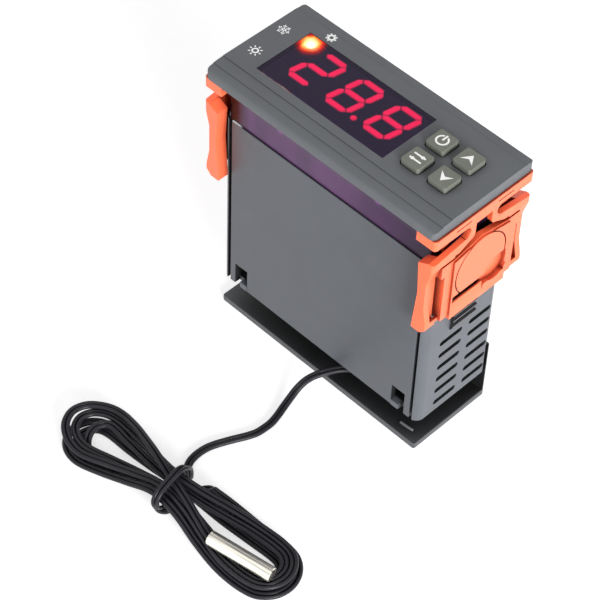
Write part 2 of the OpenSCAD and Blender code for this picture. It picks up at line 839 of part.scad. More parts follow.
module buzzer() {
    color("#1d1d1f") translate([buzzer_x, main_y, cap_z]) rotate([-90, 0, 0]) difference() {
        cylinder(d = buzzer_d, h = buzzer_l);
        translate([0, 0, buzzer_l - buzzer_well]) cylinder(d = buzzer_hole, h = buzzer_well + cut);
    }
}

module terminal_block() {
    color("#2f7a46") difference() {
        span([-block_w / 2, main_y, block_low], [block_w / 2, block_front, block_top]);
        for (i = [0 : pole_n - 1]) {
            translate([pole_x(i), entry_y, block_low - cut])
                box(entry_w, entry_w, block_h - entry_top + cut);
            translate([pole_x(i), screw_y, block_low - cut])
                cylinder(d = screw_d + 2 * screw_gap, h = screw_in + screw_l + cut);
        }
    }
}

module terminal_screws() {
    color("#b9bcc0") for (i = [0 : pole_n - 1]) translate([pole_x(i), screw_y, block_low + screw_in])
        difference() {
            cylinder(d = screw_d, h = screw_l);
            translate([0, 0, -cut]) box(screw_d + cut, screw_slot, screw_slot_t + cut);
        }
}

module terminal_clamps() {
    color("#c9a24a") for (i = [0 : pole_n - 1])
        translate([pole_x(i), entry_y, block_top - entry_top - clamp_h]) difference() {
            box(clamp_w, clamp_w, clamp_h);
            translate([0, 0, -cut])
                box(clamp_w - 2 * clamp_wall, clamp_w - 2 * clamp_wall, clamp_h - clamp_wall + cut);
        }
}

// Teeth of one rack in the XZ plane: each falls off below and catches above
rack_outline = concat([[-cut, rack_top], [-cut, rack_low]],
    [for (i = [0 : tooth_n - 1]) let (z = rack_low + i * tooth_pitch)
        each [[0, z], [tooth, z + tooth_pitch - tooth_flat], [tooth, z + tooth_pitch - tooth_lip]]],
    [[0, rack_top]]);

module vent_column(y) {
    for (i = [0 : vent_n - 1])
        translate([0, y, shell_z + vent_low + i * vent_pitch]) rotate([90, 0, 90]) linear_extrude(wall + 2 * cut) {
            square([vent_l - vent_h, vent_h], center = true);
            for (s = [-1, 1]) translate([s * (vent_l - vent_h) / 2, 0]) circle(d = vent_h, $fn = small_fn);
        }
}

module housing() {
    color("#6d7079") {
        difference() {
            translate([0, 0, shell_z]) slab(body_w, body_d, shell_l, body_r);
            // Inside, open towards the side panel
            span([-in_x, -body_d / 2 - cut, shell_z + base_t], [in_x, in_y, shell_top + cut]);
            span([-in_x, -body_d / 2 - cut, shell_z - cut], [in_x, -in_y, shell_z + base_t + cut]);
            // Recess for the rear cover's wall
            span([-body_w, recess_y, shell_z - cut], [body_w, body_d, recess_z]);
            // Opening for the terminals
            span([-opening_w / 2, main_y + opening_side, shell_z - cut],
                [opening_w / 2, block_front - opening_side, shell_z + base_t + cut]);
            for (x = [-in_x - wall - cut, in_x - cut], y = [-1, 1])
                translate([x, 0, 0]) vent_column(vent_y + y * vent_column / 2);
        }
        // Inner wall and shelf behind the recess
        span([-in_x, recess_y - inner_wall, shell_z + base_t], [in_x, recess_y, recess_z + wall]);
        span([-in_x, recess_y - inner_wall, recess_z], [in_x, body_d / 2, recess_z + wall]);
        // Ledges behind the side panel's edges, below the front frame's spigot
        for (x = [-1, 1]) translate([x * (in_x - ledge_w / 2), -in_y + ledge_t / 2, shell_z])
            box(ledge_w, ledge_t, shell_l - spigot_l - slip);
        // Lugs in the side panel's notches
        for (x = [-1, 1]) translate([x * (notch_x - lug_in), -body_d / 2 + wall / 2, shell_z])
            box(lug_w, wall, lug_h);
        for (a = [0, half]) rotate(a) translate([rack_x, rack_w / 2, 0]) rotate([90, 0, 0])
            linear_extrude(rack_w) polygon(rack_outline);
    }
}

module side_panel() {
    color("#6f727b") difference() {
        span([-panel_w / 2, -body_d / 2, shell_z], [panel_w / 2, -in_y, shell_top]);
        for (x = [-1, 1]) translate([x * notch_x, -body_d / 2, shell_z - cut])
            box(notch_w, 2 * wall + cut, notch_h + cut);
    }
}

module rear_cover() {
    color("#6d7079") {
        slab(body_w, body_d, cover_t, cover_r);
        intersection() {
            translate([0, 0, 0]) slab(body_w, body_d, cover_rise, cover_r);
            span([-body_w, body_d / 2 - cover_wall, 0], [body_w, body_d, cover_rise]);
        }
        // Raised mark on the plate
        for (i = [0, 1]) {
            a = mark_points[i];
            b = mark_points[i + 1];
            translate([a.x, a.y, cover_t]) rotate(atan2(b.y - a.y, b.x - a.x))
                translate([0, -mark_r, 0]) cube([norm(b - a) + mark_r, 2 * mark_r, cover_mark]);
        }
    }
}

pawl_outline = concat([[web_in + cut, pawl_z + pawl_n * tooth_pitch], [web_in + cut, pawl_z]],
    [for (i = [0 : pawl_n - 1]) let (z = pawl_z + i * tooth_pitch)
        each [[web_in, z], [web_in - pawl_t, z + tooth_lip], [web_in - pawl_t, z + tooth_flat]]],
    [[web_in, pawl_z + pawl_n * tooth_pitch]]);
spring_outline = [[web_in, clip_top], [web_in, arm_peak], [web_out - free_top, arm_shoulder],
    [web_out + cut, arm_shoulder], [web_out + cut, clip_top]];

// Plan of a clip: a strap round the end of the body, open towards the middle
module clip_plan(h) {
    linear_extrude(h) difference() {
        round_rect(2 * web_out, 2 * arm_out, clip_r);
        square([2 * web_in, 2 * arm_in], center = true);
        translate([-web_out - cut, -arm_out - cut]) square([web_out + cut + bar_x, 2 * arm_out + 2 * cut]);
    }
}

// A plate in the YZ plane between the web's faces
module side_plate(x0, x1) {
    translate([x0, 0, 0]) rotate([90, 0, 90]) linear_extrude(x1 - x0) children();
}

module yz(y0, z0, y1, z1) {
    translate([y0, z0]) square([y1 - y0, z1 - z0]);
}

// Outline of an arm's lower part in the XZ plane, from its free edge at the foot round the outside
arm_outline = [[web_out - free_low, clip_low], [web_out - foot_in - foot_h, clip_low],
    [web_out - foot_in, clip_low + foot_h], [web_out - foot_in, clip_low + 2 * foot_h],
    [web_out - waist_in, waist_low], [web_out - waist_in, waist_high], [web_out - foot_in / 2, arm_top],
    [web_out + cut, arm_shoulder], [web_out + cut, arm_peak], [web_out - free_top, arm_shoulder],
    [web_out - free_waist, waist_mid]];

module spring_half() {
    // The Z of a spring: the bend by the middle and the limb down to the side
    difference() {
        yz(bend_y, limb_high, bend_y + bend_r + hook_r, bar_z);
        translate([bend_y + bend_r + hook_r, limb_high + hook_r]) circle(hook_r);
    }
    heel = [for (a = [half : heel_turn : half + 3 * heel_turn])
        [bend_y + heel_r + heel_r * cos(a), limb_mid + heel_r + heel_r * sin(a)]];
    polygon(concat([[bend_y, limb_high]], heel, [[slit_y, limb_low], [slit_y, plate_side],
        [arm_out, plate_side], [arm_out, arm_peak], [bend_y + bend_r, limb_high]]));
}

// A plate with a crowned top, from its half width and its lower edge
module crowned(y, low, top) {
    polygon([[-y, low], [y, low], [y, plate_side - top], [min(y, slit_y), plate_side - top],
        [0, plate_mid - top], [-min(y, slit_y), plate_side - top], [-y, plate_side - top]]);
}

// Outline of the pocket for a thumb nail, its upper inner corner round
module nail_outline() {
    top = slot_z - nail_low + nail_h;
    translate([slot_right + nail_r, top - nail_r]) circle(nail_r);
    yz(slot_right + nail_r, slot_z - nail_low, slot_left, top);
    yz(slot_right, slot_z - nail_low, slot_left, top - nail_r);
}

module clip() {
    color("#ff7a55") difference() {
        union() {
            // Bar against the panel, with its short wings
            translate([0, 0, bar_z]) clip_plan(bar_t);
            side_plate(web_in, web_out) {
                yz(-bend_y - bend_r, bar_low, bend_y + bend_r, bar_z);
                crowned(arm_in, shoulder_z, 0);
                yz(-web_y, center_low, web_y, shoulder_z);
            }
            // Ribs behind the web's edges
            side_plate(web_in - rib_depth, web_in) for (y = [-web_y, web_y - rib_t])
                yz(y, side_low, y + rib_t, shoulder_z);
            intersection() {
                translate([0, 0, clip_low]) clip_plan(clip_l);
                side_plate(bar_x, web_out) {
                    spring_half();
                    mirror([1, 0]) spring_half();
                }
                rotate([90, 0, 0]) translate([0, 0, -arm_out]) linear_extrude(2 * arm_out)
                    polygon(spring_outline);
            }
            intersection() {
                translate([0, 0, clip_low]) clip_plan(clip_l);
                translate([0, arm_out, 0]) rotate([90, 0, 0]) linear_extrude(2 * arm_out) polygon(arm_outline);
                side_plate(0, web_out) for (y = [-arm_out, slit_y])
                    yz(y, clip_low, y + arm_out - slit_y, arm_peak);
            }
            // Thumb pad
            side_plate(web_out - cut, pad_out) crowned(pad_y, center_low, tab_slit);
            // Pawl teeth on the inner face
            translate([0, rack_w / 2, 0]) rotate([90, 0, 0]) linear_extrude(rack_w) polygon(pawl_outline);
        }
        // Slots between the web and the arms
        for (y = [-1, 1]) side_plate(web_in - pawl_t, pad_out + cut)
            if (y < 0) yz(-slot_y, foot_z, -web_y, shoulder_z);
            else yz(web_y, foot_z, slot_y, shoulder_z);
        // Web's lower edge is higher than the arms' feet
        side_plate(web_in - pawl_t, pad_out + cut) {
            yz(-arm_in, clip_low - cut, arm_in, center_low);
            yz(-arm_in, clip_low - cut, -pad_y, side_low);
            yz(pad_y, clip_low - cut, arm_in, side_low);
        }
        // Creases in the bar over its bends
        for (y = [-crease_y - crease_l, crease_y]) side_plate(web_out - crease_depth, pad_out + cut)
            yz(y, crease_z, y + crease_l, crease_z + crease_h);
        // Groove round the thumb disc, slot under it and the pocket for a thumb nail
        intersection() {
            translate([pad_out - groove_depth, 0, disc_z]) rotate([0, 90, 0]) difference() {
                cylinder(r = disc_r, h = groove_depth + cut);
                translate([0, 0, -cut]) cylinder(r = disc_r - disc_groove, h = groove_depth + 3 * cut);
            }
            side_plate(web_in, pad_out + cut) yz(-disc_r, disc_z - disc_flat, disc_r, disc_z + disc_r);
        }
        side_plate(web_in - pawl_t - cut, pad_out + cut) yz(-slot_left, slot_z, slot_right, slot_z + slot_h);
        side_plate(web_in - pawl_t - cut, pad_out - slot_skin)
            yz(-slot_left, slot_z - slot_relief, slot_right, slot_z + slot_h);
        side_plate(pad_out - nail_depth, pad_out + cut) nail_outline();
        // The pad falls back to the slot's lower edge
        translate([0, slot_right, 0]) rotate([90, 0, 0]) linear_extrude(slot_right + slot_left)
            polygon([[pad_out, slot_z - bevel_h], [pad_out + cut, slot_z - bevel_h], [pad_out + cut, slot_z],
                [pad_out - bevel_depth, slot_z]]);
    }
}

module clip_right() { clip(); }
module clip_left() { rotate(half) clip(); }

// The two insulated cores of the lead, from their wire entries to where the jacket starts
module lead_cores() {
    start = LEAD_OUT[0];
    way = unit(LEAD_OUT[1] - start);
    aside = cross([0, 0, 1], way);
    color("#2a2a2e") for (s = [-1, 1]) {
        end = start + s * core_pair * aside;
        entry = [s < 0 ? pole_x(core_pole) : pole_x(core_pole + 1), entry_y, 0];
        tube([entry + [0, 0, core_top], entry + [0, 0, block_low], entry + [0, 0, block_low - core_bend / 2],
            entry + [(end.x - entry.x) / 4, -core_bend / 4, block_low - core_bend],
            entry + [(end.x - entry.x) / 2, -core_bend / 2, block_low - core_bend - core_d],
            end - 3 * core_d * way, end - core_d * way, end],
            core_d / 2, hank_sides, [1, 0, 0]);
    }
}

module probe_lead() {
    color("#2a2a2e") tube(lead_path, cord_r, cord_sides, [0, 0, 1]);
}

module probe_hank() {
    color("#2a2a2e") tube(hank_path, cord_r, hank_sides, [0, 0, 1]);
    echo(hank_gap = hank_gap(hank_path), hank_length = path_length(hank_path), rings = len(hank_path));
}

// Steel capsule with a rounded end, at the hank's last point
module probe_tip() {
    color("#c4c6c9") translate(placed(STRAY[len(STRAY) - 1])) rotate([0, 90, hank_turn]) {
        rotate_extrude() {
            square([probe_d / 2, probe_l - probe_round]);
            square([probe_d / 2 - probe_round, probe_l]);
            translate([probe_d / 2 - probe_round, probe_l - probe_round]) circle(probe_round, $fn = small_fn);
        }
    }
}

front_bezel();
front_frame();
button_power();
button_set();
button_up();
button_down();
plunger_power();
plunger_set();
plunger_up();
plunger_down();
switch_bodies();
display_module();
display_segments();
indicator_lit();
indicators_off();
display_board();
board_link();
main_board();
transformer_core();
transformer_coil();
relay_cooling();
relay_heating();
capacitors();
buzzer();
terminal_block();
terminal_screws();
terminal_clamps();
housing();
side_panel();
rear_cover();
clip_left();
clip_right();
lead_cores();
probe_lead();
probe_hank();
probe_tip();
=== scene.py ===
"""Looks of a panel-mounted digital temperature controller with spring clips and a wired probe."""

import math

import bmesh
import bpy
from bpy.props import FloatProperty, FloatVectorProperty, IntProperty, PointerProperty
from mathutils import Matrix, Vector


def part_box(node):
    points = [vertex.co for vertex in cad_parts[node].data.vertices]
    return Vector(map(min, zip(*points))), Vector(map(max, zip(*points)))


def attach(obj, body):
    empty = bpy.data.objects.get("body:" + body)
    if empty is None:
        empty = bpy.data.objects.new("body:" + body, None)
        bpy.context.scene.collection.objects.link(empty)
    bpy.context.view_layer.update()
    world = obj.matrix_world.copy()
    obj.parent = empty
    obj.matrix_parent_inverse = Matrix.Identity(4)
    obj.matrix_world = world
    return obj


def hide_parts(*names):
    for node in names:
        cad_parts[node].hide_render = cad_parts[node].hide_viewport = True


bl_info = {
    "name": "Temperature Controller",
    "version": (1, 0, 0),
    "blender": (4, 5, 0),
    "location": "View3D > Sidebar > Controller",
    "description": "Dresses a panel-mounted temperature controller and its wired probe",
    "category": "Object",
}

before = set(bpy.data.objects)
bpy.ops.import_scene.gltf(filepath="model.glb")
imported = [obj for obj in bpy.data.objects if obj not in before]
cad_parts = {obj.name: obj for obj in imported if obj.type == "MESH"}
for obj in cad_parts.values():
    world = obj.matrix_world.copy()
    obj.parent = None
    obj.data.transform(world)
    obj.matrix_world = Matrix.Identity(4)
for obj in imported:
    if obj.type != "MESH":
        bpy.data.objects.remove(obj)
MM = 0.001
WHITE = (1.0, 1.0, 1.0, 1.0)

# Lengths in millimetres: the face's level, the keys' tops, the window's centre and half size, and
# the lit lamp's centre
FACE_Z = 85
KEY_TOP = FACE_Z + 1.5
WINDOW, WINDOW_HALF = Vector((-7.9, 0.7)), Vector((20.3, 8.7))
PANE_DEEP, PANE_UNDER = 1.65, 1.8
LAMP = Vector((-26.2, 7.4, 0))
# Points of a mesh closer than this are one
MERGE = 0.002
# The bezel's long flanks: side, where the slope starts, its width, how deep the CAD's steps go and
# how far the slope drops
FLANKS = ((-1, 11.2, 6.05, 1.0, 1.3), (1, 14.0, 3.25, 0.5, 0.5))
FLANK_SLICES, CREASE = 12, 0.3
# The terminal block's poles, and those that take the probe's cores
POLES, POLE_PITCH, PROBE_POLES = 8, 7.5, (5, 6)


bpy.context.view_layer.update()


# Colours and materials

def linear(code):
    """An sRGB hex colour as linear red, green, blue and alpha."""
    parts = [int(code[i:i + 2], 16) / 255 for i in (1, 3, 5)]
    return (*[p / 12.92 if p <= 0.04045 else ((p + 0.055) / 1.055) ** 2.4 for p in parts], 1.0)


def per_mm(size):
    """A texture's scale for features of this size in millimetres."""
    return 1 / (size * MM)


def add(tree, kind, settings=None, **links):
    """Adds a node. Settings that are attributes are set on the node and the others on its input
    sockets; a link's value is the socket that feeds the input."""
    node = tree.nodes.new(kind)
    for key, value in (settings or {}).items():
        if isinstance(key, str) and hasattr(node, key):
            setattr(node, key, value)
        else:
            node.inputs[key].default_value = value
    for key, source in links.items():
        name = key.replace("_", " ")
        target = node.inputs[int(key[1:])] if key[0] == "i" and key[1:].isdigit() else node.inputs[name]
        tree.links.new(source, target)
    return node


def cleared(owner):
    """The node tree of a material or a world, emptied."""
    owner.use_nodes = True
    owner.node_tree.nodes.clear()
    return owner.node_tree


def new_material(name, shader):
    """A material with a Principled shader wired to its output."""
    material = bpy.data.materials.new(name)
    tree = cleared(material)
    principled = add(tree, "ShaderNodeBsdfPrincipled", shader)
    add(tree, "ShaderNodeOutputMaterial", Surface=principled.outputs[0])
    return material, tree, principled


def here(tree):
    """The Object coordinates, in metres."""
    return add(tree, "ShaderNodeTexCoord").outputs["Object"]


def grain(tree, size, detail=3.0, roughness=0.6, stretch=(1, 1, 1), turn=0.0):
    """Noise on Object coordinates with grains of this size in millimetres, turned about Z."""
    mapping = add(tree, "ShaderNodeMapping", {"vector_type": "TEXTURE", "Rotation": (0, 0, turn),
                                              "Scale": [1 / s for s in stretch]}, Vector=here(tree))
    return add(tree, "ShaderNodeTexNoise", {"Scale": per_mm(size), "Detail": detail, "Roughness": roughness},
               Vector=mapping.outputs[0])


def between(tree, factor, low, high, start=0.3, end=0.7):
    """A ramp from one colour to another over a factor."""
    ramp = add(tree, "ShaderNodeValToRGB", Fac=factor)
    ramp.color_ramp.elements[0].position = start
    ramp.color_ramp.elements[1].position = end
    ramp.color_ramp.elements[0].color = low
    ramp.color_ramp.elements[1].color = high
    return ramp.outputs[0]


def shade_of(colour, factor):
    """A colour made lighter or darker by a factor."""
    return (*[min(1.0, c * factor) for c in colour[:3]], 1.0)


def mixed(tree, factor, low, high):
    """Blends two colours, given as values or as sockets, over a factor."""
    mix = add(tree, "ShaderNodeMix", {"data_type": "RGBA"}, i0=factor)
    for index, colour in ((6, low), (7, high)):
        if isinstance(colour, tuple):
            mix.inputs[index].default_value = colour
        else:
            tree.links.new(colour, mix.inputs[index])
    return mix.outputs[2]


def clouded(tree, shader, size, low, high, detail=3.0, start=0.3, end=0.7):
    """Feeds a shader's colour with clouds of this size in millimetres between two colours."""
    cloud = grain(tree, size, detail)
    tree.links.new(between(tree, cloud.outputs["Fac"], low, high, start, end), shader.inputs["Base Color"])


def bumped(tree, shader, noise, strength, depth):
    """Lets a noise raise a surface by a depth in millimetres."""
    bump = add(tree, "ShaderNodeBump", {"Strength": strength, "Distance": depth * MM},
               Height=noise.outputs["Fac"])
    tree.links.new(bump.outputs[0], shader.inputs["Normal"])


def roughened(tree, shader, noise, low, high):
    """Lets a noise vary a surface's roughness."""
    rough = add(tree, "ShaderNodeMapRange", {"To Min": low, "To Max": high}, Value=noise.outputs["Fac"])
    tree.links.new(rough.outputs[0], shader.inputs["Roughness"])


def painted_crevice_shade(tree, shader, colour, shade, reach, start=0.25, end=0.85):
    """Paints shade into a colour: it turns to its shade in slots and corners narrower than the reach in
    millimetres.
    """
    hollow = add(tree, "ShaderNodeAmbientOcclusion", {"samples": 6, "Distance": reach * MM})
    depth = add(tree, "ShaderNodeMapRange", {"From Min": start, "From Max": end}, Value=hollow.outputs["AO"])
    tree.links.new(mixed(tree, depth.outputs[0], shade, colour), shader.inputs["Base Color"])
    return depth.outputs[0]


def moulded(name, colour, roughness=0.45, texture=0.6, depth=0.01, vary=0.06, rough_vary=0.08, shade=None,
            reach=2.5, hollow=(0.25, 0.85), painted_glow=0.0, **shader):
    """Moulded plastic: a fine grain in bump and roughness, a cloudy tint and painted shade in its corners.
    A glow, where asked for, is painted light: emission of that strength where the surface lies open."""
    settings = {"Base Color": colour, "Roughness": roughness, "IOR": 1.53}
    settings.update(shader)
    material, tree, principled = new_material(name, settings)
    cloud = grain(tree, 9, 2.0)
    tint = between(tree, cloud.outputs["Fac"], shade_of(colour, 1 - vary), shade_of(colour, 1 + vary))
    open_to_light = painted_crevice_shade(tree, principled, tint, shade or shade_of(colour, 0.12), reach, *hollow)
    # Painted glow: emission, strongest where the surface lies open to light
    if painted_glow:
        glow_where_open = add(tree, "ShaderNodeMath", {"operation": "MULTIPLY", 1: painted_glow}, i0=open_to_light)
        tree.links.new(glow_where_open.outputs[0], principled.inputs["Emission Strength"])
    fine = grain(tree, texture)
    roughened(tree, principled, fine, roughness - rough_vary, roughness + rough_vary)
    bumped(tree, principled, fine, 0.35, depth)
    return material


def metal(name, colour, roughness, line, stretch, depth=0.004, streak=0.05, turn=0.0):
    """Metal with drawn or brushed lines along one turned axis, darker in the lines by the streak."""
    material, tree, principled = new_material(
        name, {"Base Color": colour, "Metallic": 1.0, "Roughness": roughness})
    lines = grain(tree, line, 4.0, 0.6, stretch, turn)
    roughened(tree, principled, lines, roughness * 0.7, roughness * 1.4)
    tree.links.new(between(tree, lines.outputs["Fac"], shade_of(colour, 1 - streak), colour, 0.38, 0.5),
                   principled.inputs["Base Color"])
    bumped(tree, principled, lines, 0.3, depth)
    return material


# Meshes

def shown(name, mesh, *materials):
    """Links a mesh into the scene as an object with its materials."""
    for material in materials:
        mesh.materials.append(material)
    piece = bpy.data.objects.new(name, mesh)
    bpy.context.scene.collection.objects.link(piece)
    return piece


def mesh_object(name, points, faces, *materials):
    """An object from points in millimetres and faces."""
    mesh = bpy.data.meshes.new(name)
    mesh.from_pydata([Vector(p) * MM for p in points], [], faces)
    mesh.validate()
    mesh.update()
    return shown(name, mesh, *materials)


def from_bmesh(name, bm, *materials):
    """An object from an edited mesh."""
    mesh = bpy.data.meshes.new(name)
    bm.to_mesh(mesh)
    bm.free()
    return shown(name, mesh, *materials)


def node_copy(node, whole=True):
    """A copy of a CAD node's mesh for editing, with its doubles merged and its flat faces whole."""
    bm = bmesh.new()
    bm.from_mesh(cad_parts[node].data)
    bmesh.ops.remove_doubles(bm, verts=bm.verts, dist=MERGE * MM)
    if whole:
        bmesh.ops.dissolve_limit(bm, angle_limit=math.radians(0.5), verts=bm.verts, edges=bm.edges)
    return bm


def thickened(bm, way):
    """Gives a mesh's faces a thickness along a way in millimetres."""
    grown = bmesh.ops.extrude_face_region(bm, geom=list(bm.faces))
    moved = [v for v in grown["geom"] if isinstance(v, bmesh.types.BMVert)]
    bmesh.ops.translate(bm, verts=moved, vec=Vector(way) * MM)
    bmesh.ops.recalc_face_normals(bm, faces=bm.faces)


def smoothed(mesh, angle=32):
    """Smooth shading with sharp edges over an angle in degrees."""
    mesh.shade_smooth()
    mesh.set_sharp_from_angle(angle=math.radians(angle))


def applied(piece):
    """Turns the evaluated piece into a plain mesh and removes its modifiers."""
    graph = bpy.context.evaluated_depsgraph_get()
    mesh = bpy.data.meshes.new_from_object(piece.evaluated_get(graph), depsgraph=graph)
    old = piece.data
    piece.modifiers.clear()
    piece.data = mesh
    mesh.name = piece.name
    bpy.data.meshes.remove(old)
    return piece


def fitted(piece, body, replaces=()):
    """Lets the piece ride on its body, and hides the nodes that it stands for."""
    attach(piece, body)
    if replaces:
        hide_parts(*replaces)
    return piece


def room(edge):
    """How far an edge can be rounded, in millimetres, before it meets its neighbours."""
    way, least = edge.verts[1].co - edge.verts[0].co, 100.0
    for loop in edge.link_loops:
        for other in (loop.link_loop_next.edge, loop.link_loop_prev.edge):
            turn = (other.verts[1].co - other.verts[0].co).angle(way, 0)
            if math.radians(40) < turn < math.radians(140):
                least = min(least, 0.45 * other.calc_length() / MM)
    return least


def dressed(node, name, material, soft, turn=35, share=None, segments=2, shade=32, keep=None, reshape=None):
    """A copy of a CAD node's mesh with soft edges, as wide as there is room. Share tells by an
    edge's middle, in millimetres, how much of the softness the edge gets, keep which faces stay,
    and reshape may move the copy's vertices."""
    bm = node_copy(node)
    if keep:
        away = [f for f in bm.faces if not keep(f.calc_center_median() / MM)]
        bmesh.ops.delete(bm, geom=away, context="FACES")
    if reshape:
        reshape(bm)
    weight = bm.edges.layers.float.new("bevel_weight_edge")
    for edge in bm.edges:
        if len(edge.link_faces) == 2 and edge.calc_face_angle(0) > math.radians(turn):
            middle = (edge.verts[0].co + edge.verts[1].co) / 2 / MM
            edge[weight] = min(share(middle) if share else 1.0, room(edge) / soft)
    piece = from_bmesh(name, bm, material)
    bevel = piece.modifiers.new("soft edges", "BEVEL")
    bevel.limit_method = "WEIGHT"
    bevel.width = soft * MM
    bevel.segments = segments
    bevel.use_clamp_overlap = True
    applied(piece)
    smoothed(piece.data, shade)
    weighted = piece.modifiers.new("flat faces", "WEIGHTED_NORMAL")
    weighted.keep_sharp = True
    return applied(piece)


def flowing_lands(bm):
    """The bezel's long flanks as moulded: low creases on a rounded slope instead of square steps."""
    for side, flat, width, steps, curve in FLANKS:
        for k in range(1, FLANK_SLICES):
            out = width * math.sin(math.pi / 2 * k / FLANK_SLICES)
            place = Vector((0, side * (flat + out), 0)) * MM
            bmesh.ops.bisect_plane(bm, geom=bm.verts[:] + bm.edges[:] + bm.faces[:], dist=0.0001 * MM,
                                   plane_co=place, plane_no=(0, 1, 0))
        for v in bm.verts:
            away, drop = side * v.co.y / MM - flat, FACE_Z - v.co.z / MM
            if away > -0.01 and (drop < 1.1 or away > width - 0.85) and drop < 2:
                down = min(drop, steps)
                slope = curve * (1 - math.sqrt(max(0.0, 1 - (away / width) ** 2)))
                v.co.z = (FACE_Z - slope - CREASE * down - (drop - down)) * MM


def tight_corners(bm):
    """The rear cover's corners as moulded, tighter than the CAD's."""
    corner, old, new = Vector((35, 13.25)), 1.5, 0.6
    for v in bm.verts:
        way = Vector((math.copysign(1, v.co.x), math.copysign(1, v.co.y)))
        x, y = [abs(v.co[i]) / MM - corner[i] + old for i in (0, 1)]
        if x > -0.01 and y > -0.01 and math.hypot(x, y) > old - 0.05:
            v.co.x, v.co.y = [way[i] * (corner[i] - new + (x, y)[i] * new / old) * MM for i in (0, 1)]


def prism(name, outline, low, high, material, centre=(0, 0)):
    """A flat shape between two heights, in millimetres."""
    n = len(outline)
    points = [(x + centre[0], y + centre[1], z) for z in (low, high) for x, y in outline]
    faces = [tuple(reversed(range(n))), tuple(range(n, 2 * n))]
    faces += [(i, (i + 1) % n, n + (i + 1) % n, n + i) for i in range(n)]
    return mesh_object(name, points, faces, material)


def copies_tree():
    """Node group that repeats a piece: each copy is moved on by the pitch and turned on by the turn."""
    tree = bpy.data.node_groups.get("copies")
    if tree:
        return tree
    tree = bpy.data.node_groups.new("copies", "GeometryNodeTree")
    for label, kind in (("Piece", "Geometry"), ("Count", "Int"), ("Pitch", "Vector"), ("Turn", "Vector"),
                        ("Finish", "Material")):
        tree.interface.new_socket(label, in_out="INPUT", socket_type="NodeSocket" + kind)
    tree.interface.new_socket("Copies", in_out="OUTPUT", socket_type="NodeSocketGeometry")
    given = add(tree, "NodeGroupInput")
    number = add(tree, "GeometryNodeInputIndex")
    place, turn = [add(tree, "ShaderNodeVectorMath", {"operation": "SCALE"}, i0=given.outputs[label],
                       Scale=number.outputs[0]).outputs[0] for label in ("Pitch", "Turn")]
    points = add(tree, "GeometryNodePoints", Count=given.outputs["Count"], Position=place)
    placed_copies = add(tree, "GeometryNodeInstanceOnPoints", Points=points.outputs[0],
                        Instance=given.outputs["Piece"], Rotation=turn)
    real = add(tree, "GeometryNodeRealizeInstances", Geometry=placed_copies.outputs[0])
    finish = add(tree, "GeometryNodeSetMaterial", Geometry=real.outputs[0], Material=given.outputs["Finish"])
    add(tree, "NodeGroupOutput", Copies=finish.outputs[0])
    return tree


def repeated(piece, count, pitch=(0, 0, 0), turn=0.0, at=(0, 0, 0)):
    """Repeats a piece in a row or round its origin, then puts the first copy's origin at a place.
    Lengths are in millimetres and the turn is in radians about Z."""
    values = {"Count": count, "Pitch": [p * MM for p in pitch], "Turn": [0.0, 0.0, turn],
              "Finish": piece.data.materials[0]}
    copies = piece.modifiers.new("copies", "NODES")
    copies.node_group = copies_tree()
    for socket in copies.node_group.interface.items_tree:
        if socket.in_out == "INPUT" and socket.name in values:
            copies[socket.identifier] = values[socket.name]
    applied(piece)
    piece.data.transform(Matrix.Translation(Vector(at) * MM))
    return piece


def face_fill(node, name, material, level, rise):
    """Fills the sunk upward faces of a CAD node at a level, up by a rise, both in millimetres."""
    bm = node_copy(node, whole=False)
    away = [f for f in bm.faces if f.normal.z < 0.9 or abs(f.calc_center_median().z / MM - level) > 0.02]
    bmesh.ops.delete(bm, geom=away, context="FACES")
    thickened(bm, (0, 0, rise))
    return from_bmesh(name, bm, material)


def sheet(name, columns, rows, holes, thickness, material):
    """An upright sheet between columns and rows in millimetres, open at the holes' cells."""
    bm = bmesh.new()
    grid = [[bm.verts.new(Vector((x, 0, z)) * MM) for z in rows] for x in columns]
    for i in range(len(columns) - 1):
        for k in range(len(rows) - 1):
            if (i, k) not in holes:
                bm.faces.new((grid[i][k], grid[i + 1][k], grid[i + 1][k + 1], grid[i][k + 1]))
    thickened(bm, (0, thickness, 0))
    return from_bmesh(name, bm, material)


def segments(rim, lit, width):
    """The lit segments, each with a rim of this width in millimetres round its bright middle."""
    bm = node_copy("display_segments")
    tops = [f for f in bm.faces if f.normal.z > 0.9]
    bmesh.ops.inset_individual(bm, faces=tops, thickness=width * MM)
    for face in tops:
        face.material_index = 1
    return from_bmesh("digit_segments", bm, rim, lit)


def joined(name, pieces):
    """Joins meshes into one, with the first one's materials."""
    bm = bmesh.new()
    for piece in pieces:
        bm.from_mesh(piece.data)
    materials = list(pieces[0].data.materials)
    for piece in pieces:
        bpy.data.objects.remove(piece)
    return from_bmesh(name, bm, *materials)


# The probe's cord, in millimetres and degrees. The hank repeats the CAD's: its runs lie in rows and
# layers in two lobes, and turn together where they narrow to the waist.

CORD_D = 1.8
HANK_AT, HANK_TURN = Vector((5.4, -68, 0)), 3.4
ROW, LAYER, LOBE_IN = 2.35, 2.35, 3.45
LOBE_Z, WAIST_V, WAIST_Z, WAIST_TURN = CORD_D / 2 + LAYER / 2, 2.72, 5.8, 60
LOBE_RIGHT, LOBE_LEFT, WAIST_FLAT, SPREAD_RIGHT, SPREAD_LEFT = 30, -26.6, 1, 23, 27
EASE_SHARE, RUN_RINGS, FOLD_RINGS, HANK_START = 0.35, 8, 5, 9
# Each round's row and layer, and how much wider each turn is than its runs lie apart
ROUNDS = [(1, 0), (0, 0), (-1, 0), (-0.5, 1), (0.5, 1)]
FOLD_MORE = [0, 0.8, 0, 0.4, 0, -1.4, 0, 1.8, 0]
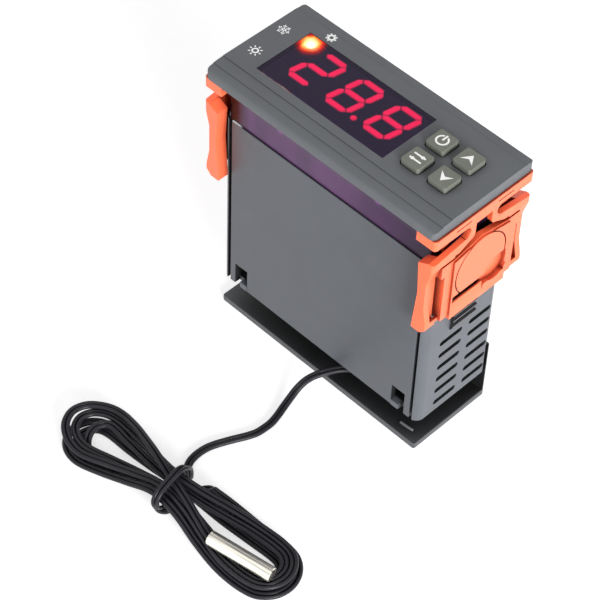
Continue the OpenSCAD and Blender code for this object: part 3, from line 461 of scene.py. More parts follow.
# The last round strays over the others to the capsule
STRAY_MORE = 2.3
STRAY = [(-28.5, 8.3, 4.3), (-25.5, 8.2, 4.8), (-22.5, 7.5, 5.6), (-19, 6.4, 6.7), (-15, 4.9, 7.8),
         (-11, 3.4, 8.8), (-7, 1.9, 9.3), (-4, 0.9, 9.1), (-1, 0, 8.6), (2, -0.8, 8.2), (5, -1.6, 7.8),
         (8.2, -2.6, 7.2), (11.4, -3.6, 6.5), (14.2, -4.5, 5.9), (16.5, -5.1, 5.8)]
CAPSULE_END = (35.2, -2.9, 5.8)
# From the cover to the hank, then once round its waist
LEAD_OUT = [(15, -5, 6.4), (13.7, -6.3, 6.4), (11.6, -8, 6.5), (8.6, -10.4, 6.6), (6.6, -13, 6.6),
            (5.1, -15.9, 6.5), (3.8, -18.3, 5.9), (2.9, -20.4, 4.8), (2.5, -22.6, 3.4), (2.7, -25.2, 2.2),
            (3.2, -28, 1.4), (4, -31.2, 1), (4.5, -33.9, 0.9), (4.5, -36.4, 0.9),
            (4.2, -38.9, 0.9), (3.2, -41.5, 0.9), (1.9, -44.1, 0.9), (0.7, -46.7, 0.9), (-0.4, -49.3, 0.9),
            (-1, -51.5, 0.9), (-1.2, -53.7, 0.9), (-1.1, -55.5, 0.9), (-0.7, -57.3, 0.9), (0.2, -59, 0.9)]
TIE = [(-3.4, 7.6, 0.9), (-2.3, 7, 1.1), (-1.6, 6.6, 2), (-1.2, 6.3, 3.6), (-1, 6.1, 5.4),
       (-0.9, 5.6, 7.3), (-0.8, 4.4, 9.1), (-0.6, 2.4, 10.3), (-0.3, 0, 10.6), (0, -3, 10.4),
       (0.2, -5.6, 9.8), (0.4, -7.2, 8.4), (0.5, -7.5, 6.6), (0.6, -6.6, 4.6), (0.7, -5.4, 2.8),
       (0.8, -3.9, 1.3), (0.9, -2, 0.9), (1.1, 0.4, 0.9), (1.4, 2.8, 0.9), (2.2, 4.8, 1.2),
       (3.4, 6.1, 2), (5, 6.7, 3.2), (6.3, 6.6, 4.1)]


def placed(v):
    """A point of the hank's own frame in the object's frame."""
    return HANK_AT + Matrix.Rotation(math.radians(HANK_TURN), 3, "Z") @ Vector(v)


def held(t):
    """The value, kept between nought and one."""
    return min(max(t, 0), 1)


def ease(t):
    """A share from nought to one, with a smooth start and stop."""
    return t * t * (3 - 2 * t)


def run_point(j, u):
    """Point of run j at u: the runs of a side turn together as the lobe narrows to the waist."""
    side = 1 if j % 2 == 0 else -1
    spread = SPREAD_RIGHT if u > 0 else SPREAD_LEFT
    t = held((abs(u) - WAIST_FLAT) / (spread - WAIST_FLAT))
    s = (1 - EASE_SHARE) * t + EASE_SHARE * ease(t)
    a = math.radians(WAIST_TURN * (1 - s))
    c, h = ROUNDS[j // 2][0] * ROW, (ROUNDS[j // 2][1] - 0.5) * LAYER
    v = s * (LOBE_IN + ROW) + (1 - s) * WAIST_V + c * math.cos(a) - h * math.sin(a)
    z = s * LOBE_Z + (1 - s) * WAIST_Z + c * math.sin(a) + h * math.cos(a)
    return Vector((u, side * v, z))


def half_turn(a, b, more, way):
    """Half turn from the end of a run to the start of the next."""
    points = []
    for i in range(1, FOLD_RINGS + 1):
        t = math.pi * i / (FOLD_RINGS + 1)
        r = abs(a.y - b.y) / 2 + more
        points.append(Vector((a.x + way * r * math.sin(t), (a.y + b.y) / 2 + (a.y - b.y) / 2 * math.cos(t),
                              a.z + (b.z - a.z) * ease(held(2 * i / (FOLD_RINGS + 1))))))
    return points


def hank_route():
    """The wound hank's points in millimetres."""
    last = 2 * len(ROUNDS) - 1
    points = [run_point(0, HANK_START), run_point(0, HANK_START + CORD_D)]
    for j in range(last + 1):
        ends = (LOBE_LEFT, LOBE_RIGHT) if j % 2 == 0 else (LOBE_RIGHT, LOBE_LEFT)
        for i in range(RUN_RINGS):
            u = ends[0] + (ends[1] - ends[0]) * i / (RUN_RINGS - 1)
            if j > 0 or u > HANK_START + 2 * CORD_D:
                points.append(run_point(j, u))
        way = 1 if j % 2 == 0 else -1
        if j < last:
            points += half_turn(run_point(j, ends[1]), run_point(j + 1, ends[1]), FOLD_MORE[j], way)
        else:
            points += half_turn(run_point(j, ends[1]), Vector(STRAY[0]), STRAY_MORE, way)
    return [placed(p) for p in points + [Vector(p) for p in STRAY]]


def cord_route():
    """The lead and the hank in one line, in millimetres."""
    hank = hank_route()
    way = (hank[1] - hank[0]).normalized()
    return [Vector(p) for p in LEAD_OUT] + [placed(p) for p in TIE] + [hank[0] - CORD_D * way] + hank


def spline(points, steps):
    """A smooth curve through the points, with evenly shared tension."""
    # Pairs of knots that each step of the blend runs between
    steps_of_blend = (((0, 1), (1, 2), (2, 3)), ((0, 2), (1, 3)), ((1, 2),))
    ends = [2 * points[0] - points[1]] + list(points) + [2 * points[-1] - points[-2]]
    out = []
    for i in range(len(points) - 1):
        four = ends[i:i + 4]
        knots = [0.0]
        for a, b in zip(four, four[1:]):
            knots.append(knots[-1] + max((b - a).length, 1e-6) ** 0.5)
        for k in range(steps):
            t = knots[1] + (knots[2] - knots[1]) * k / steps
            level = four
            for pairs in steps_of_blend:
                level = [((knots[b] - t) / (knots[b] - knots[a]) * p
                          + (t - knots[a]) / (knots[b] - knots[a]) * q)
                         for (a, b), p, q in zip(pairs, level, level[1:])]
            out.append(level[0])
    return out + [points[-1].copy()]


def ring(centre, radii, up, across):
    """Points round a centre, the first one upwards."""
    turns = [2 * math.pi * k / len(radii) for k in range(len(radii))]
    return [centre + radius * (math.cos(a) * up + math.sin(a) * across) for radius, a in zip(radii, turns)]


def skin(name, rings, material, angle):
    """A closed skin over rings of points, sharp at edges over an angle in degrees."""
    count, sides = len(rings), len(rings[0])
    faces = [(i * sides + k, i * sides + (k + 1) % sides, (i + 1) * sides + (k + 1) % sides,
              (i + 1) * sides + k) for i in range(count - 1) for k in range(sides)]
    faces += [tuple(reversed(range(sides))), tuple(range((count - 1) * sides, count * sides))]
    piece = mesh_object(name, [point for points in rings for point in points], faces, material)
    smoothed(piece.data, angle)
    return piece


def square(v, way):
    """A vector's part square to a way, one long."""
    return (v - v.dot(way) * way).normalized()


def swept(name, route, section, material, flat=0.2):
    """A tube along the route. Section is a list of radii round it, the first one upwards, and
    flat tells how fast its top turns back upwards."""
    count = len(route)
    rings, normal = [], Vector((0, 0, 1))
    for i in range(count):
        way = (route[min(i + 1, count - 1)] - route[max(i - 1, 0)]).normalized()
        normal = square(normal, way)
        up = Vector((0, 0, 1)) - way.z * way
        if up.length > 0.4:
            normal = square(normal * (1 - flat) + up.normalized() * flat, way)
        rings.append(ring(route[i], section, normal, way.cross(normal)))
    return skin(name, rings, material, 60)


def lathed(name, profile, sides, material, start, way):
    """A turned piece from pairs of distance and radius along a line, in millimetres."""
    way = Vector(way).normalized()
    normal = square(Vector((0, 0, 1)), way)
    across = way.cross(normal)
    rings = [ring(Vector(start) + out * way, [radius] * sides, normal, across) for out, radius in profile]
    return skin(name, rings, material, 35)


def along(tree, axis, start, end):
    """How far a point lies between two places on an axis, in millimetres."""
    split = add(tree, "ShaderNodeSeparateXYZ", Vector=here(tree))
    return add(tree, "ShaderNodeMapRange", {"From Min": start * MM, "From Max": end * MM},
               Value=split.outputs[axis]).outputs[0]


def window_tint():
    """Smoked polycarbonate with a polished, coated face: nearly black with a purple cast, partly its tint
    and partly a painted purple glow over the pane. What glows behind it shows through, and a painted glow
    of the lit lamp's light spreads in it round the lamp's centre."""
    colour = linear("#6A5A7A")
    material, tree, principled = new_material("polycarbonate_window_polished", {
        "Base Color": colour, "Roughness": 0.0, "IOR": 1.585, "Transmission Weight": 1.0,
        "Specular Tint": linear("#3A2C48"), "Emission Strength": 1.0})
    clouded(tree, principled, 9, shade_of(colour, 0.95), shade_of(colour, 1.05), 1.0)
    lamp_glow(tree, principled)
    return material


def lamp_glow(tree, shader):
    """Light of the lit lamp: yellow-white in the middle, then orange and red, round its centre. On the
    window it is painted light, and its last stop is the painted purple glow of the rest of the pane.
    """
    flat = add(tree, "ShaderNodeVectorMath", {"operation": "MULTIPLY", 1: (1, 1, 0)}, i0=here(tree))
    away = add(tree, "ShaderNodeVectorMath", {"operation": "DISTANCE", 1: LAMP * MM}, i0=flat.outputs[0])
    ripple = grain(tree, 2.5, 1.0)
    uneven = add(tree, "ShaderNodeMath", {"operation": "MULTIPLY", 1: 1.2 * MM}, i0=ripple.outputs["Fac"])
    reach = add(tree, "ShaderNodeMath", {"operation": "ADD"}, i0=away.outputs["Value"], i1=uneven.outputs[0])
    share = add(tree, "ShaderNodeMapRange", {"From Min": 0.6 * MM, "From Max": 4.9 * MM},
                Value=reach.outputs[0])
    ramp = add(tree, "ShaderNodeValToRGB", Fac=share.outputs[0])
    # The last stop is the painted dark purple glow far from the lamp
    stops = ((0.0, "#FFF3C4"), (0.36, "#FFE98E"), (0.5, "#FF9A2E"), (0.62, "#E02413"), (0.8, "#6E0810"),
             (1.0, "#1D1726"))
    for number, (position, code) in enumerate(stops):
        if number < 2:
            stop = ramp.color_ramp.elements[number]
            stop.position = position
        else:
            stop = ramp.color_ramp.elements.new(position)
        stop.color = linear(code)
    tree.links.new(ramp.outputs[0], shader.inputs["Emission Color"])


def finished(node, material):
    """Gives a CAD node its material."""
    node.data.materials.clear()
    node.data.materials.append(material)


def smoked_neck(colour):
    """Smoked polycarbonate: soft flow streaks, painted shade darker towards the keys' end, a painted grey
    shade under the bezel, painted dark shade by the left clip, painted glints at the snap lugs' windows
    and painted shade in its corners."""
    material, tree, principled = new_material("polycarbonate_smoked", {
        "Base Color": colour, "Roughness": 0.25, "IOR": 1.585, "Transmission Weight": 0.05,
        "Specular IOR Level": 0.25})
    streaks = grain(tree, 9, 2.0, 0.5, (1, 1, 0.4))
    streaked = between(tree, streaks.outputs["Fac"], shade_of(colour, 0.8), linear("#67386F"), 0.3, 0.7)
    # Painted shade, darker towards the keys' end
    painted_end_shade = mixed(tree, along(tree, "X", 0, 34), streaked, linear("#2E1A38"))
    # Painted grey shade under the bezel
    painted_bezel_shade = mixed(tree, along(tree, "Z", 74, 80), painted_end_shade, linear("#55505A"))
    # Painted dark shade by the left clip
    tint = mixed(tree, along(tree, "X", -26.5, -31), painted_bezel_shade, linear("#14050A"))
    # Painted glints at the snap lugs' windows
    for x in (-16, 16.1):
        lug = add(tree, "ShaderNodeVectorMath", {"operation": "DISTANCE", 1: Vector((x, -12.9, 76.5)) * MM},
                  i0=here(tree))
        near = add(tree, "ShaderNodeMapRange", {"From Min": 1.6 * MM, "From Max": 0.7 * MM},
                   Value=lug.outputs["Value"])
        tint = mixed(tree, near.outputs[0], tint, linear("#A050A8"))
    painted_crevice_shade(tree, principled, tint, linear("#1A1020"), 3.0, 0.1, 0.75)
    bumped(tree, principled, grain(tree, 2.0), 0.25, 0.01)
    return material


def pvc_jacket(colour):
    """Extruded soft PVC: a satin jacket, with painted shade in the groove between its two cores."""
    return moulded("pvc_jacket_extruded", colour, 0.3, 0.5, 0.02, 0.12, 0.08, linear("#040405"), 1.0,
                   (0.55, 0.95), **{"Specular IOR Level": 0.2})


def shell_finish(node, top, face):
    """Which finish a face of the shell's pieces has: 0 outside, 1 inside and 2 in the vents and the
    rack, both painted dark as shade, 3 the panel's upper edge, painted as the shadow in its gap, 4 the
    cover's rim and 5 its mark, painted paler as glints. Top is the node's, in mm."""
    wall_x, wall_y, base, vent_x, rack_x = 33.3, 11.4, 11, 34.9, 35.02
    rim_x, rim_y, mark, slot_x, slot_z = 34, 12.6, (2.2, 2.6), (20, 31), 20
    x, y, z = [abs(v) / MM for v in face.center]
    near = face.center.y < 0
    if node == "rear_cover":
        if abs(face.normal.z) < 0.7 and (x > rim_x or y > rim_y and near):
            return 4
        return 5 if mark[0] < z < mark[1] and near else 0
    panel = node == "side_panel"
    if panel and z < slot_z and slot_x[0] < x < slot_x[1] and near and abs(face.normal.y) < 0.5:
        return 2
    if y < wall_y and z > base:
        if x < wall_x:
            return 1
        if z < top - 3 and (x < vent_x or x > rack_x and abs(face.normal.x) < 0.75):
            return 2
    return 3 if panel and face.normal.z > 0.5 and z > top - 0.3 else 0


def seen_directly(tree):
    """One where the camera sees a thing itself, in a mirror or through glass, and otherwise nought."""
    path = add(tree, "ShaderNodeLightPath")
    seen = path.outputs["Is Camera Ray"]
    for other in ("Is Glossy Ray", "Is Transmission Ray"):
        more = add(tree, "ShaderNodeMath", {"operation": "MAXIMUM"}, i0=seen, i1=path.outputs[other])
        seen = more.outputs[0]
    return seen


# Properties

def colour_property(name, description, code):
    """A colour that the sidebar offers."""
    return FloatVectorProperty(name=name, description=description, subtype="COLOR", size=4, min=0, max=1,
                               default=linear(code))


class ControllerLooks(bpy.types.PropertyGroup):
    """Sizes and colours of the controller."""

    bezel_colour: colour_property("Bezel colour", "Colour of the textured front", "#66696D")
    shell_colour: colour_property("Shell colour", "Colour of the housing and its side panel", "#5F636A")
    cover_colour: colour_property("Cover colour", "Colour of the rear cover", "#5C5E62")
    neck_colour: colour_property("Neck colour", "Tint of the smoked front frame", "#563060")
    clip_colour: colour_property("Clip colour", "Colour of the spring clips", "#FC7E55")
    key_colour: colour_property("Key colour", "Colour of the rubber keys", "#7D8076")
    digit_colour: colour_property("Digit colour", "Colour of the lit segments", "#F51240")
    cord_colour: colour_property("Cord colour", "Colour of the probe's jacket", "#2C2C32")
    digit_glow: FloatProperty(
        name="Digit glow", description="Strength of the lit segments", min=0, max=20, default=7.0)
    edge: FloatProperty(
        name="Edge softness", description="Width of the moulded edges", unit="LENGTH", min=0.00005,
        max=0.0005, default=0.0002)
    cord_sides: IntProperty(
        name="Cord sides", description="Points round the cord", min=12, max=32, default=20)


# Operators

class CONTROLLER_OT_stage(bpy.types.Operator):
    """Camera, floor, lights and world"""

    bl_idname = "controller.stage"
    bl_label = "Stage"

    def execute(self, context):
        camera = bpy.data.cameras.new("camera")
        camera.lens, camera.sensor_width, camera.clip_start, camera.clip_end = 136.84, 36, 0.01, 20
        view = bpy.data.objects.new("camera", camera)
        view.location = (0.25588, -0.29369, 0.45735)
        view.rotation_euler = [math.radians(a) for a in (41.461, -1.702, 45.037)]
        context.scene.collection.objects.link(view)
        context.scene.camera = view

        # Matt white paper: white in the picture itself, with the object's own shadow on it
        material = bpy.data.materials.new("paper_white_matt")
        tree = cleared(material)
        fibre = grain(tree, 4)
        paper = add(tree, "ShaderNodeBsdfDiffuse",
                    Color=between(tree, fibre.outputs["Fac"], linear("#E6E6E6"), linear("#EAEAEA")))
        lift = add(tree, "ShaderNodeMath", {"operation": "MULTIPLY", 1: 0.62}, i0=seen_directly(tree))
        glow = add(tree, "ShaderNodeEmission", Strength=lift.outputs[0])
        both = add(tree, "ShaderNodeAddShader", i0=paper.outputs[0], i1=glow.outputs[0])
        add(tree, "ShaderNodeOutputMaterial", Surface=both.outputs[0])
        size, low = 3000, -0.1
        floor = mesh_object("floor", [(-size, -size, low), (size, -size, low), (size, size, low),
                                      (-size, size, low)], [(0, 1, 2, 3)], material)

        world = bpy.data.worlds.new("studio")
        context.scene.world = world
        tree = cleared(world)
        soft, white = [add(tree, "ShaderNodeBackground", {"Color": WHITE, "Strength": strength})
                       for strength in (0.42, 1.0)]
        both = add(tree, "ShaderNodeMixShader", i0=seen_directly(tree), i1=soft.outputs[0],
                   i2=white.outputs[0])
        add(tree, "ShaderNodeOutputWorld", Surface=both.outputs[0])

        for name, place, size, power in (("key", (0.79, -0.34, 0.30), 0.4, 8.0),
                                         ("fill", (-0.2, -0.85, 0.30), 0.6, 0.8)):
            lamp = bpy.data.lights.new(name, "AREA")
            lamp.shape, lamp.size, lamp.energy = "DISK", size, power
            holder = bpy.data.objects.new(name, lamp)
            holder.location = place
            holder.rotation_mode = "QUATERNION"
            holder.rotation_quaternion = (Vector(place) - Vector((0, 0, 0.05))).to_track_quat("Z", "Y")
            context.scene.collection.objects.link(holder)
        context.scene.view_settings.view_transform = "Standard"
        return {"FINISHED"}


class CONTROLLER_OT_cord(bpy.types.Operator):
    """Lead, hank and capsule of the probe"""

    bl_idname = "controller.cord"
    bl_label = "Probe and cord"

    def execute(self, context):
        looks = context.scene.controller_looks
        jacket = pvc_jacket(tuple(looks.cord_colour))
        start = placed(STRAY[-1])
        way = placed(CAPSULE_END) - start
        # Drawn and polished nickel-plated steel, bright with thin dark lines along it
        steel = metal("steel_nickel_plated_drawn", linear("#FBF8EC"), 0.3, 1.1, (0.03, 1, 1), 0.01, 0.7,
                      math.atan2(way.y, way.x))
        profile = [(0, 1.2), (0, 1.8), (0.2, 1.97), (0.5, 2.0), (18.0, 2.0), (18.4, 1.9), (18.6, 1.65),
                   (18.6, 0.4)]
        capsule = lathed("probe_capsule", profile, 40, steel, start, way)
        fitted(capsule, "case", ("probe_tip",))
        # Two cores side by side, with a web of jacket between them
        sides = looks.cord_sides
        section = [max(0.1, 1.14 * abs(math.sin(2 * math.pi * k / sides))) for k in range(sides)]
        route = spline(cord_route(), 6)
        cord = swept("probe_cord", route, section, jacket)
        fitted(cord, "case", ("probe_lead", "probe_hank"))

        # The jacket's two cores, parted towards their wire entries
        start = Vector(LEAD_OUT[0])
        way = (Vector(LEAD_OUT[1]) - start).normalized()
        aside = Vector((0, 0, 1)).cross(way)
        cores = []
        for s in (-1, 1):
            end = start + s * 0.45 * aside
            pole = PROBE_POLES[0 if s < 0 else 1]
            entry = Vector(((pole - (POLES - 1) / 2) * POLE_PITCH, -1.2, 0))
            out, low, high = end.x - entry.x, 12.0, 23.3
            points = [entry + Vector(p) for p in ((0, 0, high), (0, 0, low), (0, 0, low - 1.5),
                                                  (out / 4, -0.75, low - 3), (out / 2, -1.5, low - 3.8))]
            points += [end - 2.4 * way, end - 0.8 * way, end]
            cores.append(swept(f"core_{s}", spline(points, 6), [0.4] * 10, jacket))
        fitted(joined("lead_core_wires", cores), "case", ("lead_cores",))
        return {"FINISHED"}


class CONTROLLER_OT_front(bpy.types.Operator):
    """Bezel, smoked front frame with its window, and the printed signs"""

    bl_idname = "controller.front"
    bl_label = "Front"

    def execute(self, context):
        looks = context.scene.controller_looks
        soft = looks.edge / MM
        # Moulded ABS with a spark-eroded grain: matt, even and slightly speckled, with painted shade in its
        # creases
        abs_front = moulded("abs_spark_textured", tuple(looks.bezel_colour), 0.55, 0.35, 0.045, 0.05,
                            hollow=(0.3, 0.98))

        def outer(p):
            """Less softness round the face's openings."""
            return 0.3 if abs(p.y) < 11.2 and abs(p.x) < 36 and p.z > FACE_Z - 2 else 1.0
        bezel = dressed("front_bezel", "bezel", abs_front, 0.7, share=outer, segments=4, shade=60,
                        reshape=flowing_lands)
        fitted(bezel, "case", ("front_bezel",))

        # Tinted polycarbonate, moulded clear and smoked: purple where light passes, with painted shade darker
        # to one end and a painted glow on the window
        neck = smoked_neck(tuple(looks.neck_colour))
        window = window_tint()
        piece = dressed("front_frame", "front_frame_smoked", neck, soft * 0.6)
        piece.data.materials.append(window)
        for face in piece.data.polygons:
            away = face.center.xy / MM - WINDOW
            z = face.center.z / MM
            under = z > FACE_Z - PANE_UNDER and face.normal.z < -0.5 and (
                abs(away.x) < WINDOW_HALF.x and abs(away.y) < WINDOW_HALF.y)
            if z > FACE_Z - PANE_DEEP or under:
                face.material_index = 1
        fitted(piece, "case", ("front_frame",))

        # Pad-printed white ink: flat, matt and a little uneven over the grain, with a painted white glow
        # where it lies open and painted shade in its corners
        ink = moulded("ink_white_pad_printed", linear("#FAFAFA"), 0.5, 0.6, 0.01, 0.01, painted_glow=0.22,
                      **{"Emission Color": WHITE})
        sunk, proud = FACE_Z - 0.02, FACE_Z + 0.02

        def ray(name, a, b, width, count, centre):
            """Strokes round a centre, each from one distance to another."""
            outline = [(a, -width / 2), (b, -width / 2), (b, width / 2), (a, width / 2)]
            stroke = prism(name, outline, sunk, proud, ink)
            return repeated(stroke, count, turn=2 * math.pi / count, at=centre)

        def branch(centre, lean):
            """Side twigs of a snowflake's arms."""
            base, tip = Vector((0.95, 0)), Vector((0.95 + 0.6 * math.cos(lean), 0.6 * math.sin(lean)))
            across = Vector((-math.sin(lean), math.cos(lean))) * 0.13
            twig = prism("twig", [base - across, tip - across, tip + across, base + across], sunk, proud, ink)
            return repeated(twig, 6, turn=math.pi / 3, at=centre)

        snow, sun, wheel = (-34.0, 5.9, 0), (-33.4, -4.4, 0), (-24.0, 12.3, 0)
        arc, lean = math.pi / 12, math.pi / 3.4
        signs = [ray("arm", 0.1, 1.75, 0.32, 6, snow), branch(snow, lean), branch(snow, -lean),
                 ray("beam", 1.2, 1.8, 0.32, 8, sun), ray("tooth", 1.0, 1.45, 0.48, 8, wheel)]
        for centre, inner, outer in ((sun, 0.55, 0.95), (wheel, 0.55, 1.1)):
            piece = prism("arc", [(inner, 0), (outer, 0), (outer * math.cos(arc), outer * math.sin(arc)),
                                  (inner * math.cos(arc), inner * math.sin(arc))], sunk, proud, ink)
            signs.append(repeated(piece, 24, turn=arc, at=centre))
        fitted(joined("face_signs", signs), "case")
        return {"FINISHED"}


class CONTROLLER_OT_display(bpy.types.Operator):
    """Lit digits, lamps and the module that carries them"""

    bl_idname = "controller.display"
    bl_label = "Display"

    def execute(self, context):
        looks = context.scene.controller_looks
        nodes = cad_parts
        # Black epoxy face of the module: dull and slightly cloudy
        face, tree, shader = new_material("epoxy_display_face", {"Roughness": 0.6, "Specular IOR Level": 0.0})
        clouded(tree, shader, 6, linear("#060508"), linear("#0A080D"), 1.0)
        finished(nodes["display_module"], face)
        colour = tuple(looks.digit_colour)

        def diode(name, share, low, high):
            """A diffuser over light-emitting diodes with a share of the glow, slightly spotted."""
            material, tree, shader = new_material(name, {
                "Roughness": 0.6, "Specular IOR Level": 0.0, "Emission Color": colour,
                "Emission Strength": looks.digit_glow * share})
            clouded(tree, shader, 1.5, shade_of(colour, low), shade_of(colour, high))
            return material
        # Lit segments, bright in their middle, and their edges, where the diffuser fades
        lit = diode("led_segment_lit", 1.0, 0.12, 0.18)
        rim = diode("led_segment_edge", 0.5, 0.08, 0.14)
        fitted(segments(rim, lit, 0.22), "case", ("display_segments",))
        # The lamp's own lens of clear epoxy: the glow at its brightest
        lamp, tree, shader = new_material("led_lamp_lit", {
            "Base Color": linear("#6A5A30"), "Roughness": 0.6, "Emission Strength": 6.0})
        lamp_glow(tree, shader)
        finished(nodes["indicator_lit"], lamp)
        # Unlit lamps and segments: tinted epoxy with a painted faint purple glow, which shows through the
        # window
        off = moulded("led_lens_unlit", linear("#2E2038"), 0.6, 0.8, 0.01, painted_glow=1.0,
                      **{"Specular IOR Level": 0.0, "Emission Color": linear("#5A4470")})
        finished(nodes["indicators_off"], off)
        # The first digit's two dark posts, drawn as the CAD draws its lit ones
        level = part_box("display_segments")[1][2] / MM
        wide, tall, stroke, lean = 6.7, 5.55, 1.7, math.tan(math.radians(10))
        digit = (WINDOW.x - 11.2, WINDOW.y + 1.9)
        posts = []
        for x, y in ((wide / 2, -tall / 2), (-wide / 2, tall / 2)):
            half = tall / 2 - 0.1
            shape = [(0, -half), (stroke / 2, -half + stroke / 2), (stroke / 2, half - stroke / 2), (0, half),
                     (-stroke / 2, half - stroke / 2), (-stroke / 2, -half + stroke / 2)]
            outline = [(x + a + (y + b) * lean, y + b) for a, b in shape]
            posts.append(prism("post", outline, level - 0.2, level, off, digit))
        fitted(joined("segments_unlit", posts), "case")
        return {"FINISHED"}


class CONTROLLER_OT_keys(bpy.types.Operator):
    """Four rubber keys with white signs, and their plungers"""

    bl_idname = "controller.keys"
    bl_label = "Keys"

    def execute(self, context):
        looks = context.scene.controller_looks
        # Compression-moulded silicone rubber: matt, soft edges, painted shade in its corners
        rubber = moulded("silicone_keys_moulded", tuple(looks.key_colour), 0.6, 0.5, 0.02, 0.05, reach=1.6)
        # White silicone pressed into the caps' sunk signs: flat and matt, with a painted white glow and a
        # pale painted shade in its corners
        ink = moulded("silicone_signs_white", linear("#FAFAF8"), 0.5, 0.6, 0.005, 0.01,
                      shade=linear("#D8D8D4"), painted_glow=0.22, **{"Emission Color": WHITE})
        # Moulded nylon of the plungers: black and slightly waxy
        nylon = moulded("nylon_plungers_moulded", linear("#2B2B2D"))
        for name in ("power", "set", "up", "down"):
            low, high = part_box(f"button_{name}")
            cx, cy = [(low[i] + high[i]) / 2 / MM for i in (0, 1)]

            def rim_only(p, cx=cx, cy=cy):
                """No softness round the sunk sign."""
                return 0.0 if p.z > KEY_TOP - 0.3 and abs(p.x - cx) < 2.4 and abs(p.y - cy) < 2.4 else 1.0
            key = dressed(f"button_{name}", f"key_{name}_cap", rubber, 0.5, share=rim_only, segments=3)
            fitted(key, f"key_{name}", (f"button_{name}",))
            sign = face_fill(f"button_{name}", f"key_{name}_sign", ink, KEY_TOP - 0.15, 0.14)
            fitted(sign, f"key_{name}")
            finished(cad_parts[f"plunger_{name}"], nylon)
        return {"FINISHED"}


class CONTROLLER_OT_shell(bpy.types.Operator):
    """Housing, side panel and rear cover"""

    bl_idname = "controller.shell"
    bl_label = "Shell"

    def execute(self, context):
        looks = context.scene.controller_looks
        soft = looks.edge / MM
        # Moulded ABS, smoother than the bezel, with flow clouds
        abs_shell = moulded("abs_shell_moulded", tuple(looks.shell_colour), 0.42, 0.6, 0.015, 0.05)
        # The side panel's ABS: a darker copy of the shell's colour
        abs_panel = moulded("abs_panel_moulded", shade_of(looks.shell_colour, 0.84), 0.45, 0.6, 0.015, 0.05)
        # The same plastic inside the case, unpolished, painted dark as the shade in there
        inside = moulded("abs_inside_painted_shade", linear("#1A1B1E"), 0.7, 0.8, 0.02, reach=8)
        # Its vents' and rack's faces, which lie in their own shade
        slots = moulded("abs_slots_in_shade", linear("#17181B"), 0.6, 0.8, 0.02)
        # The panel's upper edge: dull, painted dark as the shadow in the gap under the front frame, with a
        # painted glint at its left end
        edge, tree, shader = new_material("abs_edge_painted_gap_shadow", {"Base Color": linear("#1C1A20"), "Roughness": 0.7,
                                                            "Emission Color": WHITE})
        gap_glint = grain(tree, 1.5)
        left = add(tree, "ShaderNodeMath", {"operation": "MULTIPLY"}, i0=along(tree, "X", -28.5, -30),
                   i1=gap_glint.outputs["Fac"])
        tree.links.new(left.outputs[0], shader.inputs["Emission Strength"])
        # The rear cover's ABS: darker and duller, with the body's shadow painted black on it
        abs_cover = moulded("abs_cover_painted_shadow", tuple(looks.cover_colour), 0.5, 0.6, 0.02, 0.06,
                            shade=linear("#101012"), reach=25, hollow=(0.55, 0.95))
        # Its outer rim, the same plastic without the body's painted shadow, and the raised mark, painted
        # paler as glints
        rim = moulded("abs_cover_rim", linear("#505256"), 0.45, 0.6, 0.02, 0.06, reach=0.5)
        mark = moulded("abs_cover_mark_painted_pale", linear("#85878B"), 0.45, 0.6, 0.02, 0.06, reach=0.5)
        for node, name, width, material in (("housing", "housing_shell", 1.5, abs_shell),
                                            ("side_panel", "side_panel_plate", 1.2, abs_panel),
                                            ("rear_cover", "rear_cover_tray", 1.2, abs_cover)):
            reshape = tight_corners if node == "rear_cover" else None
            piece = dressed(node, name, material, soft * width, reshape=reshape)
            for more in (inside, slots, edge, rim, mark):
                piece.data.materials.append(more)
            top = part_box(node)[1][2] / MM
            for face in piece.data.polygons:
                face.material_index = shell_finish(node, top, face)
            fitted(piece, "case", (node,))
        return {"FINISHED"}


class CONTROLLER_OT_clips(bpy.types.Operator):
    """The two spring clips that pull the bezel against a panel"""

    bl_idname = "controller.clips"
    bl_label = "Clips"

    def execute(self, context):
        looks = context.scene.controller_looks
        # Moulded acetal, satin, with light that enters its thin edges, a painted red glow where it lies open
        # and painted dark red shade in its slots
        acetal = moulded("acetal_clips_moulded", tuple(looks.clip_colour), 0.36, 0.8, 0.012, 0.04,
                         shade=linear("#6E0C00"), reach=3.5, hollow=(0.4, 1.0), painted_glow=0.28,
                         **{"Subsurface Weight": 0.06, "Subsurface Radius": (0.004, 0.0012, 0.0006),
                            "Subsurface Scale": 0.2, "Emission Color": (1.0, 0.05, 0.0, 1.0)})
        gusset = ((35.2, 9.2), (35.7, 9.4), (35.7, 11.1), (35.2, 11.3))
        for side in ("left", "right"):
            piece = dressed(f"clip_{side}", f"clip_{side}_spring", acetal, looks.edge / MM * 4, segments=4)
            fitted(piece, f"clip_{side}", (f"clip_{side}",))
            # Gussets behind the spring's loops, which keep light from passing there
            way = 1 if side == "right" else -1
            gussets = []
            for end in (-1, 1):
                outline = [(way * x, end * y) for x, y in gusset]
                gussets.append(prism("gusset", outline[::way * end], 72.6, 75.4, acetal))
            fitted(joined(f"clip_{side}_gussets", gussets), f"clip_{side}")
        return {"FINISHED"}


